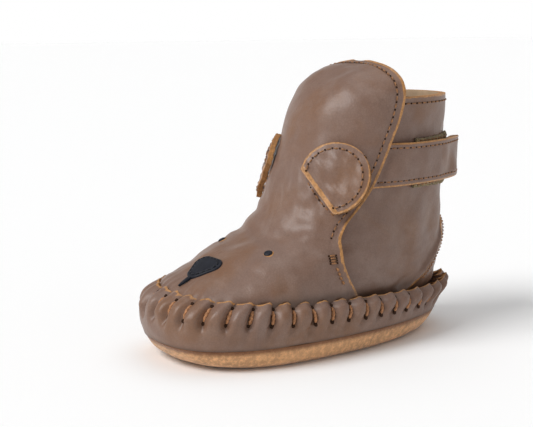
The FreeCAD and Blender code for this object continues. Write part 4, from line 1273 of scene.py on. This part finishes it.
# ---------------------------------------------------------------- stage
VIEW_AZIMUTH, VIEW_ELEVATION, VIEW_DISTANCE = 55, 9, 0.4
VIEW_TARGET = Vector((0.0, 0.0, 0.045))
VIEW_SHIFT = (-0.0769, -0.0169)
FLOOR_DROP, FLOOR_HALF = 0.0002, 4.0


def way_to(azimuth, elevation):
    """Direction from the bootie, turned from the toe by the azimuth, both in degrees."""
    azimuth, elevation = math.radians(azimuth), math.radians(elevation)
    level = math.cos(elevation)
    return Vector((math.sin(azimuth) * level, -math.cos(azimuth) * level, math.sin(elevation)))


def soft_sun(name, azimuth, elevation, spread, power):
    data = bpy.data.lights.new(name, "SUN")
    data.angle, data.energy = math.radians(spread), power
    light = bpy.data.objects.new(name, data)
    bpy.context.scene.collection.objects.link(light)
    way = way_to(azimuth, elevation)
    light.location = VIEW_TARGET + way
    light.rotation_euler = way.to_track_quat("Z", "Y").to_euler()


def studio_world():
    """Bright round the horizon and dimmer overhead."""
    world = bpy.data.worlds.new("Studio")
    world.use_nodes = True
    nodes, links = world.node_tree.nodes, world.node_tree.links
    split = nodes.new("ShaderNodeSeparateXYZ")
    links.new(nodes.new("ShaderNodeTexCoord").outputs["Generated"], split.inputs[0])
    fade = nodes.new("ShaderNodeMapRange")
    fade.inputs["From Min"].default_value, fade.inputs["From Max"].default_value = 0.08, 0.5
    fade.inputs["To Min"].default_value, fade.inputs["To Max"].default_value = 1.0, 0.24
    links.new(split.outputs["Z"], fade.inputs["Value"])
    background = nodes["Background"]
    background.inputs["Color"].default_value = (1.0, 1.0, 1.0, 1.0)
    links.new(fade.outputs["Result"], background.inputs["Strength"])
    bpy.context.scene.world = world


def build_stage(colours):
    bm = bmesh.new()
    bmesh.ops.create_grid(bm, x_segments=1, y_segments=1, size=FLOOR_HALF)
    mesh = bpy.data.meshes.new("floor")
    bm.to_mesh(mesh)
    bm.free()
    floor = bpy.data.objects.new("floor", mesh)
    floor.location.z = CAD_BOX[0][2] - FLOOR_DROP
    mesh.materials.append(Shader("PaleFloor", 0.9).paint(colours.floor).material)
    bpy.context.scene.collection.objects.link(floor)

    studio_world()
    soft_sun("KeySun", -5, 46, 32, 2.2)
    soft_sun("TopSun", 200, 72, 60, 0.8)

    data = bpy.data.cameras.new("Camera")
    data.lens, data.sensor_width = 81.0, 36.0
    data.shift_x, data.shift_y = VIEW_SHIFT
    data.clip_start = 0.01
    camera = bpy.data.objects.new("Camera", data)
    bpy.context.scene.collection.objects.link(camera)
    camera.location = VIEW_TARGET + VIEW_DISTANCE * way_to(VIEW_AZIMUTH, VIEW_ELEVATION)
    camera.rotation_euler = (camera.location - VIEW_TARGET).to_track_quat("Z", "Y").to_euler()
    bpy.context.scene.camera = camera
    bpy.context.scene.view_settings.view_transform = "Standard"


# ---------------------------------------------------------------- operators
class BOOTIE_OT_upper(bpy.types.Operator):
    """Front leather, from the toe up into the tongue flap"""
    bl_idname = "bootie.upper"
    bl_label = "Upper"

    def execute(self, context):
        build_upper()
        return {"FINISHED"}


class BOOTIE_OT_linings(bpy.types.Operator):
    """Lining leather of the front and of the quarter"""
    bl_idname = "bootie.linings"
    bl_label = "Linings"

    def execute(self, context):
        build_linings()
        return {"FINISHED"}


class BOOTIE_OT_quarter(bpy.types.Operator):
    """Quarter and heel gusset with their seams"""
    bl_idname = "bootie.quarter"
    bl_label = "Quarter and gusset"

    def execute(self, context):
        build_quarter()
        return {"FINISHED"}


class BOOTIE_OT_sidewall(bpy.types.Operator):
    """Puckered sidewall"""
    bl_idname = "bootie.sidewall"
    bl_label = "Sidewall"

    def execute(self, context):
        build_sidewall()
        return {"FINISHED"}


class BOOTIE_OT_hand_stitches(bpy.types.Operator):
    """Thick hand stitches round the foot"""
    bl_idname = "bootie.hand_stitches"
    bl_label = "Hand stitches"

    def execute(self, context):
        build_hand_stitches()
        return {"FINISHED"}


class BOOTIE_OT_sole(bpy.types.Operator):
    """Suede outsole, foam and insole"""
    bl_idname = "bootie.sole"
    bl_label = "Sole"

    def execute(self, context):
        build_sole()
        return {"FINISHED"}


class BOOTIE_OT_seams(bpy.types.Operator):
    """Stitch rows of the flap and vamp, and the bar tacks"""
    bl_idname = "bootie.seams"
    bl_label = "Seams"

    def execute(self, context):
        build_flap_seams()
        return {"FINISHED"}


class BOOTIE_OT_ears(bpy.types.Operator):
    """Two doubled leather ears"""
    bl_idname = "bootie.ears"
    bl_label = "Ears"

    def execute(self, context):
        build_ears()
        return {"FINISHED"}


class BOOTIE_OT_strap(bpy.types.Operator):
    """Ankle strap and its stitches"""
    bl_idname = "bootie.strap"
    bl_label = "Strap"

    def execute(self, context):
        build_strap()
        return {"FINISHED"}


class BOOTIE_OT_tapes(bpy.types.Operator):
    """Hook tape and loop pad"""
    bl_idname = "bootie.tapes"
    bl_label = "Hook and loop"

    def execute(self, context):
        build_tapes()
        return {"FINISHED"}


class BOOTIE_OT_face(bpy.types.Operator):
    """Nose, mouth and eyes"""
    bl_idname = "bootie.face"
    bl_label = "Face"

    def execute(self, context):
        build_nose()
        build_mouth()
        build_eyes()
        return {"FINISHED"}


class BOOTIE_OT_stage(bpy.types.Operator):
    """Floor, lights and camera"""
    bl_idname = "bootie.stage"
    bl_label = "Stage"

    def execute(self, context):
        build_stage(context.scene.bootie_colours)
        return {"FINISHED"}


OPERATORS = (
    BOOTIE_OT_upper, BOOTIE_OT_linings, BOOTIE_OT_quarter, BOOTIE_OT_sidewall, BOOTIE_OT_hand_stitches,
    BOOTIE_OT_sole, BOOTIE_OT_seams, BOOTIE_OT_ears, BOOTIE_OT_strap, BOOTIE_OT_tapes, BOOTIE_OT_face,
    BOOTIE_OT_stage,
)


class BOOTIE_PT_panel(bpy.types.Panel):
    """Sizes, colours and build steps"""
    bl_idname = "BOOTIE_PT_panel"
    bl_label = "Bootie"
    bl_space_type = "VIEW_3D"
    bl_region_type = "UI"
    bl_category = "Bootie"

    def draw(self, context):
        layout = self.layout
        for group in (context.scene.bootie_sizes, context.scene.bootie_colours):
            for name in group.bl_rna.properties.keys():
                if name not in ("rna_type", "name"):
                    layout.prop(group, name)
        for operator in OPERATORS:
            layout.operator(operator.bl_idname)


CLASSES = (BootieSizes, BootieColours) + OPERATORS + (BOOTIE_PT_panel,)


def register():
    for made in CLASSES:
        bpy.utils.register_class(made)
    bpy.types.Scene.bootie_sizes = bpy.props.PointerProperty(type=BootieSizes)
    bpy.types.Scene.bootie_colours = bpy.props.PointerProperty(type=BootieColours)


def unregister():
    del bpy.types.Scene.bootie_colours
    del bpy.types.Scene.bootie_sizes
    for made in reversed(CLASSES):
        bpy.utils.unregister_class(made)


def main():
    register()
    for operator in OPERATORS:
        group, name = operator.bl_idname.split(".")
        getattr(getattr(bpy.ops, group), name)()


if __name__ == "__main__":
    main()
